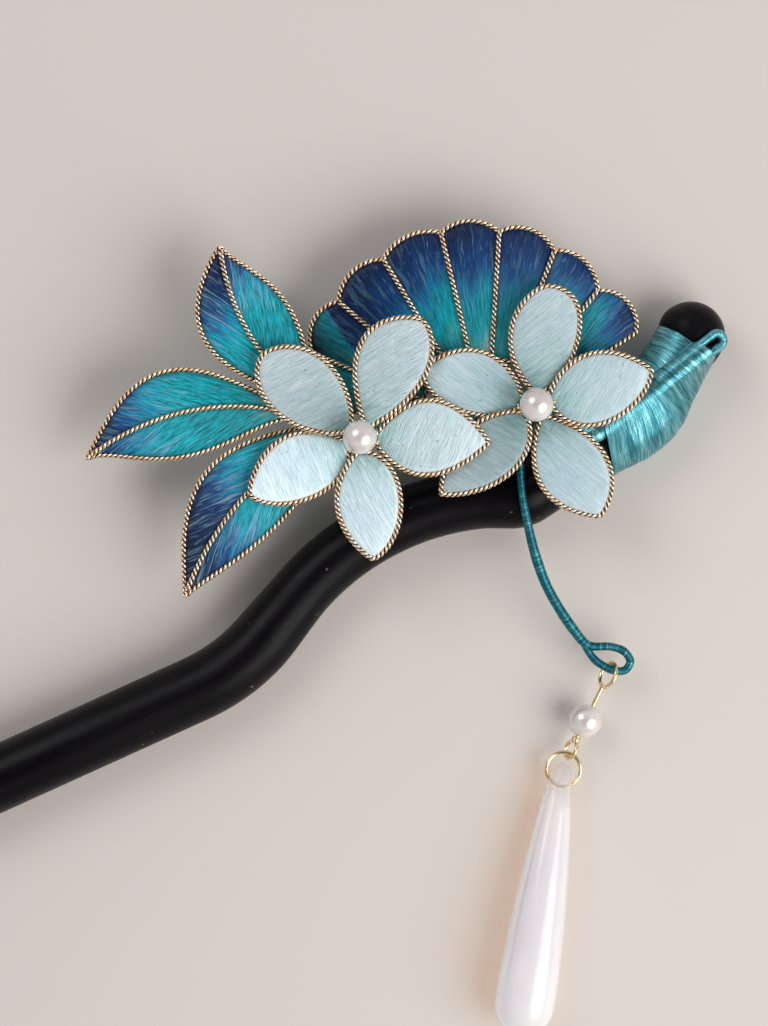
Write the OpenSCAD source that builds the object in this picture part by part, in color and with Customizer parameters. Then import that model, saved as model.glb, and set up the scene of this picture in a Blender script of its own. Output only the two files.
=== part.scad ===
/* [Stick] */
// Radius of the wood along the leg and at the knee
wood_r = 5; // [4.9:0.05:5.2]
// Radius of the round head
head_r = 5.25; // [5.1:0.05:5.4]
// Radius of the wood in the slack bend, where it narrows a little
slack_r = 4.6; // [4.4:0.05:4.8]
// Radius of the neck, sunk under the silk winding
neck_r = 4.55; // [4.4:0.05:4.55]
// Radius of the rounded point
point_r = 2.4; // [1.5:0.1:4]
// Length of the tapered end of the leg
taper_l = 30; // [20:1:50]
// Length of the straight leg after the taper
leg_l = 51; // [40:1:70]
// Distance from the end of the knee to the middle of the winding's lower end
winding_from = 13.9; // [13.8:0.1:14.5]
// Distance from the winding's upper end to the middle of the round head
winding_end = 1.75; // [1.6:0.05:1.8]
// Length of the last straight stretch, up to the middle of the round head
head_l = 10.85; // [10.6:0.05:11]
// Slant of the winding's lower end
lower_slant = 20; // [10:1:22]
// Slant of the winding's upper end
upper_slant = 6; // [0:1:8]
// How far the upper end leans towards the head over the top
upper_pitch = 8; // [0:1:10]

/* [Silk stem] */
// Half the width of the flat silk-wrapped stem
stem_half_w = 1.5; // [1.2:0.1:1.7]
// Half the thickness of the stem
stem_half_h = 1; // [0.8:0.05:1.05]
// Thickness of the silk winding where it lies on the ground
winding_t = 0.3; // [0.2:0.02:0.32]
// How much thicker the silk is over the sides and top at its lower end
winding_lip = 0.43; // [0.2:0.01:0.5]
// How much thicker again it is wound at the elbow
winding_bulge = 0.85; // [0.6:0.05:1]
// Radius of the silk-wrapped wire in the stem's end loop
loop_wire_r = 0.7; // [0.5:0.05:0.75]
// Radius of each flower's hub
hub_r = 1.95; // [1.5:0.05:2]

/* [Panels] */
// Radius of the twisted gold edge wire
wire_r = 0.53; // [0.4:0.01:0.53]
// Half the thickness of a silk panel at its edge
panel_half = 0.25; // [0.15:0.05:0.25]
// How far a panel swells above its edge
swell = 0.45; // [0.1:0.05:0.45]
// Gap between a panel and its edge wire
panel_gap = 0.13; // [0.12:0.01:0.2]
// How far a rib stands above the panel's middle plane
rib_up = 0.86; // [0.85:0.01:0.88]
// Height from a flower's lower petals to its upper petals
petal_step = 1.1; // [1.1:0.05:1.2]

/* [Fan] */
// Radius of the fan's inner edge
fan_inner = 10.8; // [10.5:0.1:12]
// Height of the fan's middle plane at its inner edge
fan_z = 10.3; // [9.9:0.1:10.3]
// How far the fan's outer edge drops
fan_drop = 0.8; // [0:0.1:2]

/* [Pearls] */
// Radius of the two flower pearls
pearl_r = 2.55; // [2.4:0.05:2.6]
// Radius of the drop's pearl
drop_pearl_r = 2.6; // [2.2:0.05:2.8]
// Radius of the pearls' drill holes
bore_r = 0.45; // [0.4:0.01:0.6]
// Radius of the gold wire through a flower pearl
thread_r = 0.2; // [0.15:0.01:0.25]

/* [Drop] */
// Radius of the silk-wrapped hanger at its root and round its eye
hanger_r = 0.6; // [0.5:0.05:0.6]
// Radius of the hanger at its thickest
hanger_mid_r = 0.75; // [0.6:0.05:0.8]
// Radius of the eye pin's wire
pin_r = 0.32; // [0.25:0.01:0.33]
// Middle radius of the pin's upper loop
upper_loop_r = 1.93; // [1.9:0.01:2]
// Middle radius of the pin's lower loop
lower_loop_r = 1.4; // [1.38:0.01:1.45]
// Middle radius of the jump ring
ring_r = 2.61; // [2.58:0.01:2.65]
// Radius of the jump ring's wire
ring_wire_r = 0.29; // [0.25:0.01:0.3]
// Largest radius of the stone drop
drop_r = 4.6; // [4.4:0.05:4.7]
// Length of the stone drop
drop_l = 42.2; // [41:0.1:43]

/* [Hidden] */
// Columns of a stick run: straight length, radius at its end, bend radius, bend angle
STRAIGHT = 0;
END_R = 1;
BEND_R = 2;
BEND = 3;
runs = [
    [taper_l, wood_r, 0, 0],
    [leg_l, wood_r, 29.5, 26.4],
    [7.3, slack_r, 41.8, -47.6],
    [2.7, wood_r, 5.6, 31],
    [19.9, neck_r, 9, 26],
    [head_l, neck_r, 0, 0],
];
KNEE_RUN = 4;
// How much thicker a bend is than its straights, and how far these run into it
seam = 0.02;
seam_l = 0.1;
// Height of the stick's axis, with its bends on the ground
axis_z = wood_r + seam;
head_z = axis_z + head_r - wood_r;
// Where the wood steps down to the neck, just under the winding's lower end
shoulder_l = 11.8;

// Place of the spray's own layout on the stick, and the angle that the leg has in that layout
spray_at = [118.2, 12.6, 0];
lay_turn = 24.4;
// Middle of the whole part's footprint, measured from the middle of the rounded point
middle = [87.42, -4.7];

// Columns of a petal: angle to its tip, length, left half width, right half width,
// how soon it widens, how round its tip is, sideways bend, lift above the lower petals, rise to the tip
left_petals = [
    [140, 16.9, 5.3, 4.8, 0.8, 0.6, -0.4, 1, 0.2],
    [62, 17.6, 6.4, 3.9, 1, 0.65, -0.1, 1, 0.4],
    [-2, 17.1, 2.7, 7.9, 0.9, 1, 3, 0, 1.2],
    [-84, 16, 7, 2, 0.7, 0.75, -2.2, 1, -0.6],
    [-153, 16.4, 6.7, 2.6, 0.7, 0.75, -2.3, 0, 0],
];
right_petals = [
    [83, 15.8, 3, 6.7, 0.7, 0.5, 1.8, 0, 0.4],
    [17, 15.9, 2, 7.9, 0.7, 0.8, 2.7, 1, 0],
    [-60, 17, 8, 2, 0.95, 0.8, -3, 0, 0],
    [-137, 17.2, 6, 2.4, 0.75, 0.9, -1.5, 1, -0.7],
    [162, 15.4, 6, 2.8, 0.7, 0.65, -2.1, 0, 0],
];
left_hub = [-3.6, 11.3, 13.8];
right_hub = [22.8, 16.2, 12.8];
petal_from = 2.3;

// Columns of a leaf: foot, angle to its tip, length, bend of its midrib, left side, right side,
// height of its foot, height of its tip, and where its stalk meets the hub.
// A side is half width, how soon it widens, how fine its tip is
leaves = [
    [[-8.9, 15.8], 123, 29.2, 3.5, [6.2, 1.7, 0.85], [6.9, 1.6, 1.35], 12.6, 10.6, 132],
    [[-11.9, 14.7], -169, 33.8, -4, [6.3, 1.75, 1.5], [6.5, 1.75, 1.15], 12.6, 8.6, 166],
    [[-5.8, 13.7], -132.7, 35.8, -3.6, [6.2, 1.2, 1.2], [6.5, 1.45, 1.2], 11.2, 10.8, 132],
];
leaf_arch = 0.8;

// Columns of a fan fold: angle of the rib at its left, radius at that rib, radius of its round edge
FAN_CENTRE = [15.6, 12.6];
folds = [
    [172.5, 27.3, 29.4],
    [156.2, 28.8, 31.1],
    [139.2, 29.6, 31.5],
    [121.4, 30.1, 31.75],
    [103.2, 30.5, 31.8],
    [86.5, 29.9, 31.1],
    [69.4, 28.8, 29.6],
    [51.5, 26.8, 28.8],
    [33, 26.7, 26.7],
];
fold_count = len(folds) - 1;
// The rib whose wire runs on to the stem, and where that wire stops, measured from the fan's centre
ROOT_RIB = 1;
fan_root = 6.8;
// Radius at which the fan has dropped by its whole drop
fan_reach = 29.7;
// The first fold is tucked in by this angle at its inner end, over this length, to pass beside the stem
tuck = 8;
tuck_l = 6.2;
// How round a fold's edge is between two ribs, and how far the silk draws back at a rib
fold_round = 0.7;
rib_notch = 0.12;

// The stem from the left hub past the right hub and up the neck of the stick, in the spray's layout
stem_z = 2 * axis_z + stem_half_h + 0.1;
stem_foot = [33, 12.75, stem_z];
stem_end = [49.3, 25.33, stem_z];
stem_route = [
    [-3.6, 11.3, 11.5],
    [3, 12.9, 11.4],
    [10, 13.9, 11.3],
    [16.5, 15.2, 11.2],
    [22.8, 15.9, stem_z],
    [28, 13.4, stem_z],
    [31, 12.5, stem_z],
    stem_foot,
    stem_end,
];
// Length and half width of the loop at its end
loop_l = 2.4;
loop_half = 1.1;

// Hanger route in the spray's layout, with the radius at each point
hanger_route = [
    [22.2, 13.9, 10.8, hanger_r],
    [20.9, 10.3, 10.8, hanger_r],
    [20.6, 6.5, 10.8, hanger_r],
    [21, 2, 10.7, hanger_r],
    [21.9, -2.3, 10, 0.65],
    [23, -6.5, 8.8, hanger_mid_r],
    [24.6, -10.8, 7.5, hanger_mid_r],
    [26.6, -14.4, 6.3, hanger_mid_r],
    [29, -17.9, 5.3, hanger_mid_r],
    [31.2, -20.2, 4.8, 0.65],
    [34.5, -20.4, 4.6, hanger_r],
    [36.6, -21.1, 4.6, hanger_r],
    [37.6, -22.6, 4.6, hanger_r],
    [36.8, -24, 4.6, hanger_r],
    [34.9, -24, 4.6, hanger_r],
    [32.8, -22.9, 4.6, hanger_r],
    [31.6, -21.7, 4.7, hanger_r],
];

// The last of the eye, a little thinner, which runs on into the strand that it came from
eye_end = [[32.1, -22.2, 4.66], [30.6, -20, 4.9]];
eye_end_r = 0.54;

// The pin's line, from its upper loop down to its lower loop
pin_top = [34.25, -24.75, 4.6];
pin_turn = 243.8;
pin_fall = 6.5;
pin_pearl_l = 7.9;
pin_l = 12.85;
loop_tilt = 60;
// Middle of the jump ring
ring_at = [27.49, -39.29, 3.1];
// Tip of the stone drop, its direction in plan and its tilt
drop_tip = [27.35, -38.17, 3.05];
drop_turn = 260.9;
drop_tilt = 2.7;
drop_neck_r = 1.55;
// Room round the jump ring in the drop's bore
ring_clear = 0.13;
// Directions of the gold wires through the two flower pearls
left_thread_turn = 167;
right_thread_turn = 10;

$fn = 48;

function unit(v) = v / norm(v);
function heading(a) = [cos(a), sin(a), 0];
function left_of(a) = [-sin(a), cos(a), 0];
// Even steps, drawn a little closer together at both ends
function eased(u) = u - 0.5 * sin(360 * u) / (2 * PI);

// Pose [x, y, angle] at a distance along one run, and at a distance over this run and those after it
function run_l(run) = run[STRAIGHT] + run[BEND_R] * abs(run[BEND]) * PI / 180;
function after_bend(pose, radius, angle) = let (s = sign(angle) * radius, a = pose[2], b = a + angle)
    [pose.x + s * (sin(b) - sin(a)), pose.y - s * (cos(b) - cos(a)), b];
function pose_in(pose, run, d) = let (
        go = min(d, run[STRAIGHT]),
        there = [pose.x + go * cos(pose[2]), pose.y + go * sin(pose[2]), pose[2]])
    d <= run[STRAIGHT] || run[BEND_R] == 0 ? there
    : after_bend(there, run[BEND_R], sign(run[BEND]) * (d - run[STRAIGHT]) / run[BEND_R] * 180 / PI);
function run_start(i) = i == 0 ? [0, 0, 0] : pose_in(run_start(i - 1), runs[i - 1], run_l(runs[i - 1]));
function pose_along(i, d) = d <= run_l(runs[i]) || i == len(runs) - 1 ? pose_in(run_start(i), runs[i], d)
    : pose_along(i + 1, d - run_l(runs[i]));

// From the spray's layout to the stick's own lines
function on_stick(p) = spray_at + [
    p.x * cos(lay_turn) + p.y * sin(lay_turn),
    p.y * cos(lay_turn) - p.x * sin(lay_turn),
    p.z];

module spray() {
    translate(spray_at) rotate([0, 0, -lay_turn]) children();
}

// A tube swept along a level or gently sloping route, wide and high as given
function along(route, i) = let (n = len(route)) unit(route[min(i + 1, n - 1)] - route[max(i - 1, 0)]);
module swept(route, half_w, half_h, sides = 6) {
    n = len(route);
    points = [
        for (i = [0 : n - 1])
            let (t = along(route, i), s = unit(cross(t, [0, 0, 1])), u = cross(s, t))
            for (j = [0 : sides - 1])
                let (a = 360 * j / sides)
                route[i] + half_w[i] * cos(a) * s + half_h[i] * sin(a) * u,
    ];
    walls = [
        for (i = [0 : n - 2], j = [0 : sides - 1])
            let (k = (j + 1) % sides)
            [i * sides + j, i * sides + k, (i + 1) * sides + k, (i + 1) * sides + j],
    ];
    start = [for (j = [sides - 1 : -1 : 0]) j];
    finish = [for (j = [0 : sides - 1]) (n - 1) * sides + j];
    polyhedron(points, concat([start], walls, [finish]));
}

module wire(route, radius = wire_r, sides = 6) {
    size = [for (p = route) radius];
    swept(route, size, size, sides);
}

// A thin closed pad between two grids of points with the same rows and columns
module pad(top, bottom) {
    n = len(top);
    k = len(top[0]);
    under = n * k;
    points = concat([for (row = top, p = row) p], [for (row = bottom, p = row) p]);
    faces = concat(
        [for (i = [0 : n - 2], j = [0 : k - 2])
            [i * k + j, i * k + j + 1, (i + 1) * k + j + 1, (i + 1) * k + j]],
        [for (i = [0 : n - 2], j = [0 : k - 2])
            [under + i * k + j, under + (i + 1) * k + j, under + (i + 1) * k + j + 1, under + i * k + j + 1]],
        [for (i = [0 : n - 2]) [under + i * k, i * k, (i + 1) * k, under + (i + 1) * k]],
        [for (i = [0 : n - 2])
            let (a = i * k + k - 1, b = a + k)
            [under + b, b, a, under + a]],
        [for (j = [0 : k - 2]) [under + j + 1, j + 1, j, under + j]],
        [for (j = [0 : k - 2])
            let (a = (n - 1) * k + j)
            [under + a, a, a + 1, under + a + 1]]);
    polyhedron(points, faces);
}

// Half width along a petal or leaf as a share of its largest, from foot 0 to tip 1
function fullness(t, m, n) = let (peak = m / (m + n)) pow(t / peak, m) * pow((1 - t) / (1 - peak), n);

// A blade is [foot, angle, length, bend, left side, right side, foot height, tip height, arch]
FOOT = 0;
ANGLE = 1;
LENGTH = 2;
BOW = 3;
SIDES = 4;
Z_FOOT = 6;
Z_TIP = 7;
ARCH = 8;
foot_half = 0.56;
function blade_point(b, t, lateral, up) = let (a = b[ANGLE], off = lateral + b[BOW] * 4 * t * (1 - t))
    [b[FOOT].x, b[FOOT].y, b[Z_FOOT] + (b[Z_TIP] - b[Z_FOOT]) * t + b[ARCH] * 4 * t * (1 - t) + up]
    + b[LENGTH] * t * heading(a) + off * left_of(a);
function half_width(side, t) = foot_half * (1 - t) + side[0] * fullness(t, side[1], side[2]);
// Edge point at its left (which = 0) or right (which = 1)
function edge_point(b, which, t) = blade_point(b, t, (1 - 2 * which) * half_width(b[SIDES + which], t), 0);
// How far along the blade a side is still wider than w near its tip, and first as wide as w near its foot
function near_tip(side, w) = let (m = side[1], n = side[2], peak = m / (m + n))
    1 - (1 - peak) * pow(w * pow(peak, m) / side[0], 1 / n);
function near_foot(side, w) = let (m = side[1], n = side[2], peak = m / (m + n))
    peak * pow((w - foot_half) * pow(1 - peak, n) / side[0], 1 / m);

edge_steps = 12;
function blade_edge(b) = let (w = wire_r + 0.1, l = near_tip(b[SIDES], w), r = near_tip(b[SIDES + 1], w))
    concat(
        [for (i = [0 : edge_steps]) edge_point(b, 0, l * eased(i / edge_steps))],
        [blade_point(b, 1, 0, 0)],
        [for (i = [edge_steps : -1 : 0]) edge_point(b, 1, r * eased(i / edge_steps))]);

// The same edge moved inwards by d, square to the edge
function inner_point(b, which, t, d) = let (
        e = 0.01,
        v = unit(edge_point(b, which, min(t + e, 1)) - edge_point(b, which, max(t - e, 0))),
        turn = 1 - 2 * which)
    edge_point(b, which, t) + turn * d * unit([v.y, -v.x, 0]);

pad_rows = 10;
pad_columns = 4;
// Half the width of a pad's own end at the foot and at the tip
foot_end = 0.3;
tip_end = 0.2;
// Rows of a blade's pad, with a crease under the midrib where it has one
function blade_rows(b, up, creased) = let (
        d = wire_r + panel_gap,
        l = b[SIDES],
        r = b[SIDES + 1],
        from_l = near_foot(l, d + foot_end),
        from_r = near_foot(r, d + foot_end),
        to_l = near_tip(l, d + tip_end),
        to_r = near_tip(r, d + tip_end))
    [for (i = [0 : pad_rows])
        let (
            u = eased(i / pad_rows),
            tl = from_l + (to_l - from_l) * u,
            tr = from_r + (to_r - from_r) * u,
            a = inner_point(b, 1, tr, d),
            c = inner_point(b, 0, tl, d),
            mid = creased ? blade_point(b, (tl + tr) / 2, 0, 0) : (a + c) / 2,
            full = sin(180 * i / pad_rows))
        [for (j = [0 : pad_columns])
            let (
                v = 2 * j / pad_columns - 1,
                p = v < 0 ? mid + (a - mid) * -v : mid + (c - mid) * v,
                crown = creased ? 4 * abs(v) * (1 - abs(v)) : 1 - v * v)
            [p.x, p.y, p.z + (up > 0 ? panel_half + swell * crown * full : -panel_half)]]];

module blade_pad(b, creased = false) {
    pad(blade_rows(b, 1, creased), blade_rows(b, -1, creased));
}

function petal(hub, row) = [
    hub + petal_from * heading(row[0]), row[0], row[1], row[6],
    [row[2], row[4], row[5]], [row[3], row[4], row[5]],
    hub.z + petal_step * row[7], hub.z + petal_step * row[7] + row[8], 0.1];
function leaf(row) = [row[0], row[1], row[2], row[3], row[4], row[5], row[6], row[7], leaf_arch];

module petal_silk(hub, row) {
    color([0.74, 0.86, 0.87]) spray() blade_pad(petal(hub, row));
}

module petal_wire(hub, row) {
    color([0.80, 0.62, 0.42]) spray() wire(blade_edge(petal(hub, row)));
}

module leaf_silk(row) {
    color([0.05, 0.45, 0.55]) spray() blade_pad(leaf(row), true);
}

// The leaf's edge wire, its midrib, and the stalk that runs on to the hub where the foot is short of it
module leaf_wire(row) {
    b = leaf(row);
    rib = [for (t = [0.08, 0.2, 0.35, 0.5, 0.65, 0.8, 0.9, 0.97]) blade_point(b, t, 0, rib_up)];
    foot = blade_point(b, 0, 0, 0);
    clear_of_hub = 0.3;
    lap = 0.5;
    shortest_stalk = 2;
    to_hub = [left_hub.x, left_hub.y, foot.z] + (hub_r + clear_of_hub) * heading(row[8]) - foot;
    color([0.80, 0.62, 0.42]) spray() {
        wire(blade_edge(b));
        wire(rib);
        if (norm(to_hub) > shortest_stalk) {
            wire([foot - lap * unit(to_hub), foot + to_hub]);
        }
    }
}

function fan_at(a, r, up) = let (out = (r - fan_inner) / (fan_reach - fan_inner))
    [FAN_CENTRE.x + r * cos(a), FAN_CENTRE.y + r * sin(a), fan_z - fan_drop * out + up];
// Radius of the fan's edge, at a share f of the way across fold i
function fan_edge(i, f) = let (at_rib = folds[i][1] * (1 - f) + folds[i + 1][1] * f)
    at_rib + (folds[i][2] - (folds[i][1] + folds[i + 1][1]) / 2) * pow(sin(180 * f), fold_round);
function fan_angle(i, f, r) = let (in = i == 0 ? max(1 - (r - fan_inner) / tuck_l, 0) : 0)
    (folds[i][0] - tuck * in) * (1 - f) + folds[i + 1][0] * f;

fold_steps = 4;
fan_bands = 4;
function fan_rows(up) = let (d = wire_r + panel_gap)
    [for (i = [0 : fold_count - 1], s = [0 : i == fold_count - 1 ? fold_steps : fold_steps - 1])
        let (
            f = s / fold_steps,
            side = i == 0 && s == 0 ? 1 : i == fold_count - 1 && s == fold_steps ? -1 : 0,
            inner = fan_inner + d,
            outer = fan_edge(i, f) - d - rib_notch * (1 - sin(180 * f)))
        [for (k = [0 : fan_bands])
            let (
                r = inner + (outer - inner) * k / fan_bands,
                a = fan_angle(i, f, r) - side * asin(d / r),
                crown = sin(180 * f) * sin(180 * k / fan_bands))
            fan_at(a, r, up > 0 ? panel_half + swell * crown : -panel_half)]];

module fan_silk() {
    color([0.06, 0.30, 0.50]) spray() pad(fan_rows(1), fan_rows(-1));
}

// One wire round the fan, a rib between each two folds, and one wire run on to the stem
module fan_wire() {
    edge_f = [0, 0.12, 0.3, 0.5, 0.7, 0.88];
    left_r = folds[0][1];
    right = folds[fold_count];
    lap = 0.4;
    first = fan_angle(0, 0, fan_inner);
    past_tuck = fan_inner + tuck_l;
    around = concat(
        [for (r = [fan_inner, past_tuck, (past_tuck + left_r) / 2]) fan_at(fan_angle(0, 0, r), r, 0)],
        [for (i = [0 : fold_count - 1], f = edge_f)
            let (r = fan_edge(i, f))
            fan_at(fan_angle(i, f, r), r, 0)],
        [for (r = [right[1], (fan_inner + right[1]) / 2, fan_inner + lap]) fan_at(right[0], r, 0)]);
    inside = [for (f = [0 : 0.1 : 1]) fan_at((first - lap) * (1 - f) + right[0] * f, fan_inner, 0)];
    color([0.80, 0.62, 0.42]) spray() {
        wire(around);
        wire(inside);
        wire([for (r = [fan_root, fan_inner + lap]) fan_at(folds[ROOT_RIB][0], r, 0)]);
        for (i = [1 : fold_count - 1]) {
            wire([for (r = [fan_inner, folds[i][1]]) fan_at(folds[i][0], r, rib_up)]);
        }
    }
}

// A straight stretch between x = from and x = to, tapering from r1 at 0 to r2 at l
module rod(from, to, l, r1, r2) {
    slope = (r2 - r1) / l;
    translate([from, 0, 0]) rotate([0, 90, 0])
        cylinder(h = to - from, r1 = r1 + slope * from, r2 = r1 + slope * to);
}

// Each bend is thicker than its straights by the seam, and they end a little way inside it
module run_solid(i) {
    start = run_start(i);
    run = runs[i];
    r = i == 0 ? point_r : runs[i - 1][END_R];
    from = i > 1 ? -seam_l : 0;
    to = run[STRAIGHT] + (run[BEND] == 0 ? 0 : seam_l);
    translate([start.x, start.y, 0]) rotate([0, 0, start[2]]) {
        if (i == KNEE_RUN) {
            rod(from, shoulder_l, run[STRAIGHT], r, r);
            rod(shoulder_l - 1, to, run[STRAIGHT], neck_r, neck_r);
        } else {
            rod(from, to, run[STRAIGHT], r, run[END_R]);
        }
        if (run[BEND] != 0) {
            translate([run[STRAIGHT], sign(run[BEND]) * run[BEND_R], 0])
                rotate([0, 0, run[BEND] > 0 ? -90 : 90 + run[BEND]])
                rotate_extrude(angle = abs(run[BEND])) translate([run[BEND_R], 0]) circle(run[END_R] + seam);
        }
    }
}

// The round head, cut off square to the slanted upper end of the winding
module head() {
    end = pose_along(len(runs) - 1, head_l);
    cuff_l = 3;
    block = 20;
    under_silk = 0.1;
    translate([end.x, end.y, head_z - axis_z]) rotate([0, 0, end[2]]) difference() {
        union() {
            sphere(head_r);
            translate([-cuff_l, 0, 0]) rotate([0, 90, 0]) cylinder(h = cuff_l, r = head_r);
        }
        translate([under_silk - winding_end, 0, 0]) rotate([0, upper_pitch, -upper_slant])
            translate([-block, -block / 2, -block / 2]) cube(block);
    }
}

module stick() {
    color([0.10, 0.09, 0.10]) translate([0, 0, axis_z]) {
        sphere(point_r);
        for (i = [0 : len(runs) - 1]) run_solid(i);
        head();
    }
}

// Outline round the wood and the stem on top of it: the hull of a circle and an ellipse,
// each point found from the direction that it faces
function hull_point(a, centre, r, half_w, half_h) = let (
        c = cos(a),
        s = sin(a),
        q = norm([half_w * c, half_h * s]))
    centre.x * c + centre.y * s + q > r
    ? [centre.x + half_w * half_w * c / q, centre.y + half_h * half_h * s / q]
    : [r * c, r * s];

winding_steps = 15;
winding_sides = 28;
winding_gap = 0.14;
// How soon the extra silk at the elbow swells, and how slowly it dies away
bulge_in = 2.4;
bulge_out = 4.3;
// Extra room at the stem's sides
stem_room = 0.1;
winding_l = run_l(runs[KNEE_RUN]) + head_l - winding_end - winding_from;
// How far the stem's line lies to the left of the wood's axis, at a distance d along it
function stem_off(d) = let (
        pose = pose_along(KNEE_RUN, d),
        a = on_stick(stem_foot) - [pose.x, pose.y, 0],
        b = on_stick(stem_end) - [pose.x, pose.y, 0],
        t = heading(pose[2]),
        f = a * t / ((a - b) * t))
    (a + (b - a) * f) * left_of(pose[2]);
// One turn of the silk, slanted in plan and leaning forward over the top
function winding_ring(i, out) = let (
        f = i / winding_steps,
        d = winding_from + winding_l * f,
        slant = tan(lower_slant) * (1 - f) + tan(upper_slant) * f,
        pitch = tan(upper_pitch) / cos(upper_slant) * f,
        up = stem_z - axis_z,
        off = stem_off(d + stem_off(d) * slant + up * pitch),
        g = winding_gap + out * winding_t,
        thick = out * (winding_lip * (1 - f) + winding_bulge * fullness(f, bulge_in, bulge_out)))
    [for (j = [0 : winding_sides - 1])
        let (
            a = 360 * j / winding_sides,
            r = neck_r + seam + g + thick * (1 + min(sin(a), 0)),
            p = hull_point(a, [off, up], r, stem_half_w + g + stem_room, stem_half_h + g),
            pose = pose_along(KNEE_RUN, d + p.x * slant + p.y * pitch))
        [pose.x, pose.y, axis_z + p.y] + p.x * left_of(pose[2])];

module silk_winding() {
    n = winding_steps + 1;
    k = winding_sides;
    rings = concat(
        [for (i = [0 : winding_steps]) winding_ring(i, 1)],
        [for (i = [0 : winding_steps]) winding_ring(i, 0)]);
    under = n * k;
    faces = concat(
        [for (i = [0 : n - 2], j = [0 : k - 1])
            let (m = (j + 1) % k)
            [i * k + j, (i + 1) * k + j, (i + 1) * k + m, i * k + m]],
        [for (i = [0 : n - 2], j = [0 : k - 1])
            let (m = (j + 1) % k)
            [under + i * k + j, under + i * k + m, under + (i + 1) * k + m, under + (i + 1) * k + j]],
        [for (j = [0 : k - 1]) let (m = (j + 1) % k) [j, m, under + m, under + j]],
        [for (j = [0 : k - 1])
            let (m = (j + 1) % k, a = (n - 1) * k)
            [a + j, under + a + j, under + a + m, a + m]]);
    color([0.25, 0.58, 0.60]) polyhedron([for (ring = rings, p = ring) p], faces);
}

// A hub stands on the stem and ends a little above the upper petals
hub_over = 0.5;
left_hub_low = 11;
right_hub_low = 10.2;
module hub(at, low) {
    translate([at.x, at.y, low]) cylinder(h = at.z + petal_step + hub_over - low, r = hub_r);
}

// How far the loop starts inside the stem's end, and how close it lies to the ball of the head
loop_lap = 0.1;
loop_room = 0.15;
// Point of the stem's end loop, a distance l past the stem's end and w to its left.
// The loop bends down from the stem until its tip lies on the ball of the head
function loop_point(l, w) = let (
        go = unit(stem_end - stem_foot),
        p = stem_end + l * go + w * [-go.y, go.x, 0],
        end = pose_along(len(runs) - 1, head_l),
        away = on_stick([p.x, p.y, 0]) - [end.x, end.y, 0],
        on_ball = head_z + sqrt(max(pow(head_r + loop_wire_r + loop_room, 2) - away * away, 0)),
        f = min(max(l, 0) / (loop_l - loop_half), 1))
    [p.x, p.y, stem_z * (1 - f) + min(on_ball, stem_z) * f];

// Silk-wrapped stem with both hubs, ending in a loop that lies over the side of the head
module stem() {
    bow = loop_l - loop_half;
    loop = concat(
        [for (l = [-loop_lap, bow / 2]) loop_point(l, -loop_half)],
        [for (a = [-90 : 30 : 90]) loop_point(bow + loop_half * cos(a), loop_half * sin(a))],
        [for (l = [bow / 2, -loop_lap]) loop_point(l, loop_half)]);
    color([0.16, 0.45, 0.48]) spray() {
        swept(stem_route, [for (p = stem_route) stem_half_w], [for (p = stem_route) stem_half_h], 10);
        wire(loop, loop_wire_r);
        hub(left_hub, left_hub_low);
        hub(right_hub, right_hub_low);
    }
}

function pearl_at(hub) = [hub.x, hub.y, hub.z + petal_step + hub_over + 3 * thread_r + pearl_r];

// A ball drilled along its own axis
module drilled(radius) {
    difference() {
        sphere(radius);
        cylinder(h = 3 * radius, r = bore_r, center = true);
    }
}

module pearl(hub, turn) {
    color([0.95, 0.94, 0.93]) spray() translate(pearl_at(hub)) rotate([0, 90, turn]) drilled(pearl_r);
}

// Gold wire through the pearl and round under it, down to the hub
module pearl_wire(hub, turn) {
    reach = pearl_r + 1.5 * thread_r;
    color([0.85, 0.70, 0.45]) spray() translate(pearl_at(hub)) rotate([0, 0, turn]) {
        rotate([0, 90, 0]) cylinder(h = 2 * (reach + thread_r), r = thread_r, center = true);
        rotate([-90, 0, 0]) rotate_extrude(angle = 180) translate([reach, 0]) circle(thread_r);
    }
}

module hanger() {
    n = len(hanger_route);
    size = [for (p = hanger_route) p[3]];
    color([0.10, 0.42, 0.47]) spray() {
        swept([for (p = hanger_route) [p.x, p.y, p.z]], size, size, 8);
        wire(eye_end, eye_end_r, 8);
    }
}

module pin_frame() {
    spray() translate(pin_top) rotate([0, 0, pin_turn]) rotate([0, pin_fall, 0]) children();
}

module pin_loop(r) {
    rotate([loop_tilt, 0, 0]) rotate_extrude() translate([r, 0]) circle(pin_r);
}

module eye_pin() {
    color([0.85, 0.68, 0.40]) pin_frame() {
        pin_loop(upper_loop_r);
        translate([pin_l, 0, 0]) pin_loop(lower_loop_r);
        translate([upper_loop_r, 0, 0]) rotate([0, 90, 0])
            cylinder(h = pin_l - upper_loop_r - lower_loop_r, r = pin_r);
    }
}

module drop_pearl() {
    color([0.95, 0.94, 0.93]) pin_frame() translate([pin_pearl_l, 0, 0]) rotate([0, 90, 0])
        drilled(drop_pearl_r);
}

module jump_ring() {
    color([0.85, 0.68, 0.40]) spray() translate(ring_at)
        rotate_extrude() translate([ring_r, 0]) circle(ring_wire_r);
}

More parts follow.
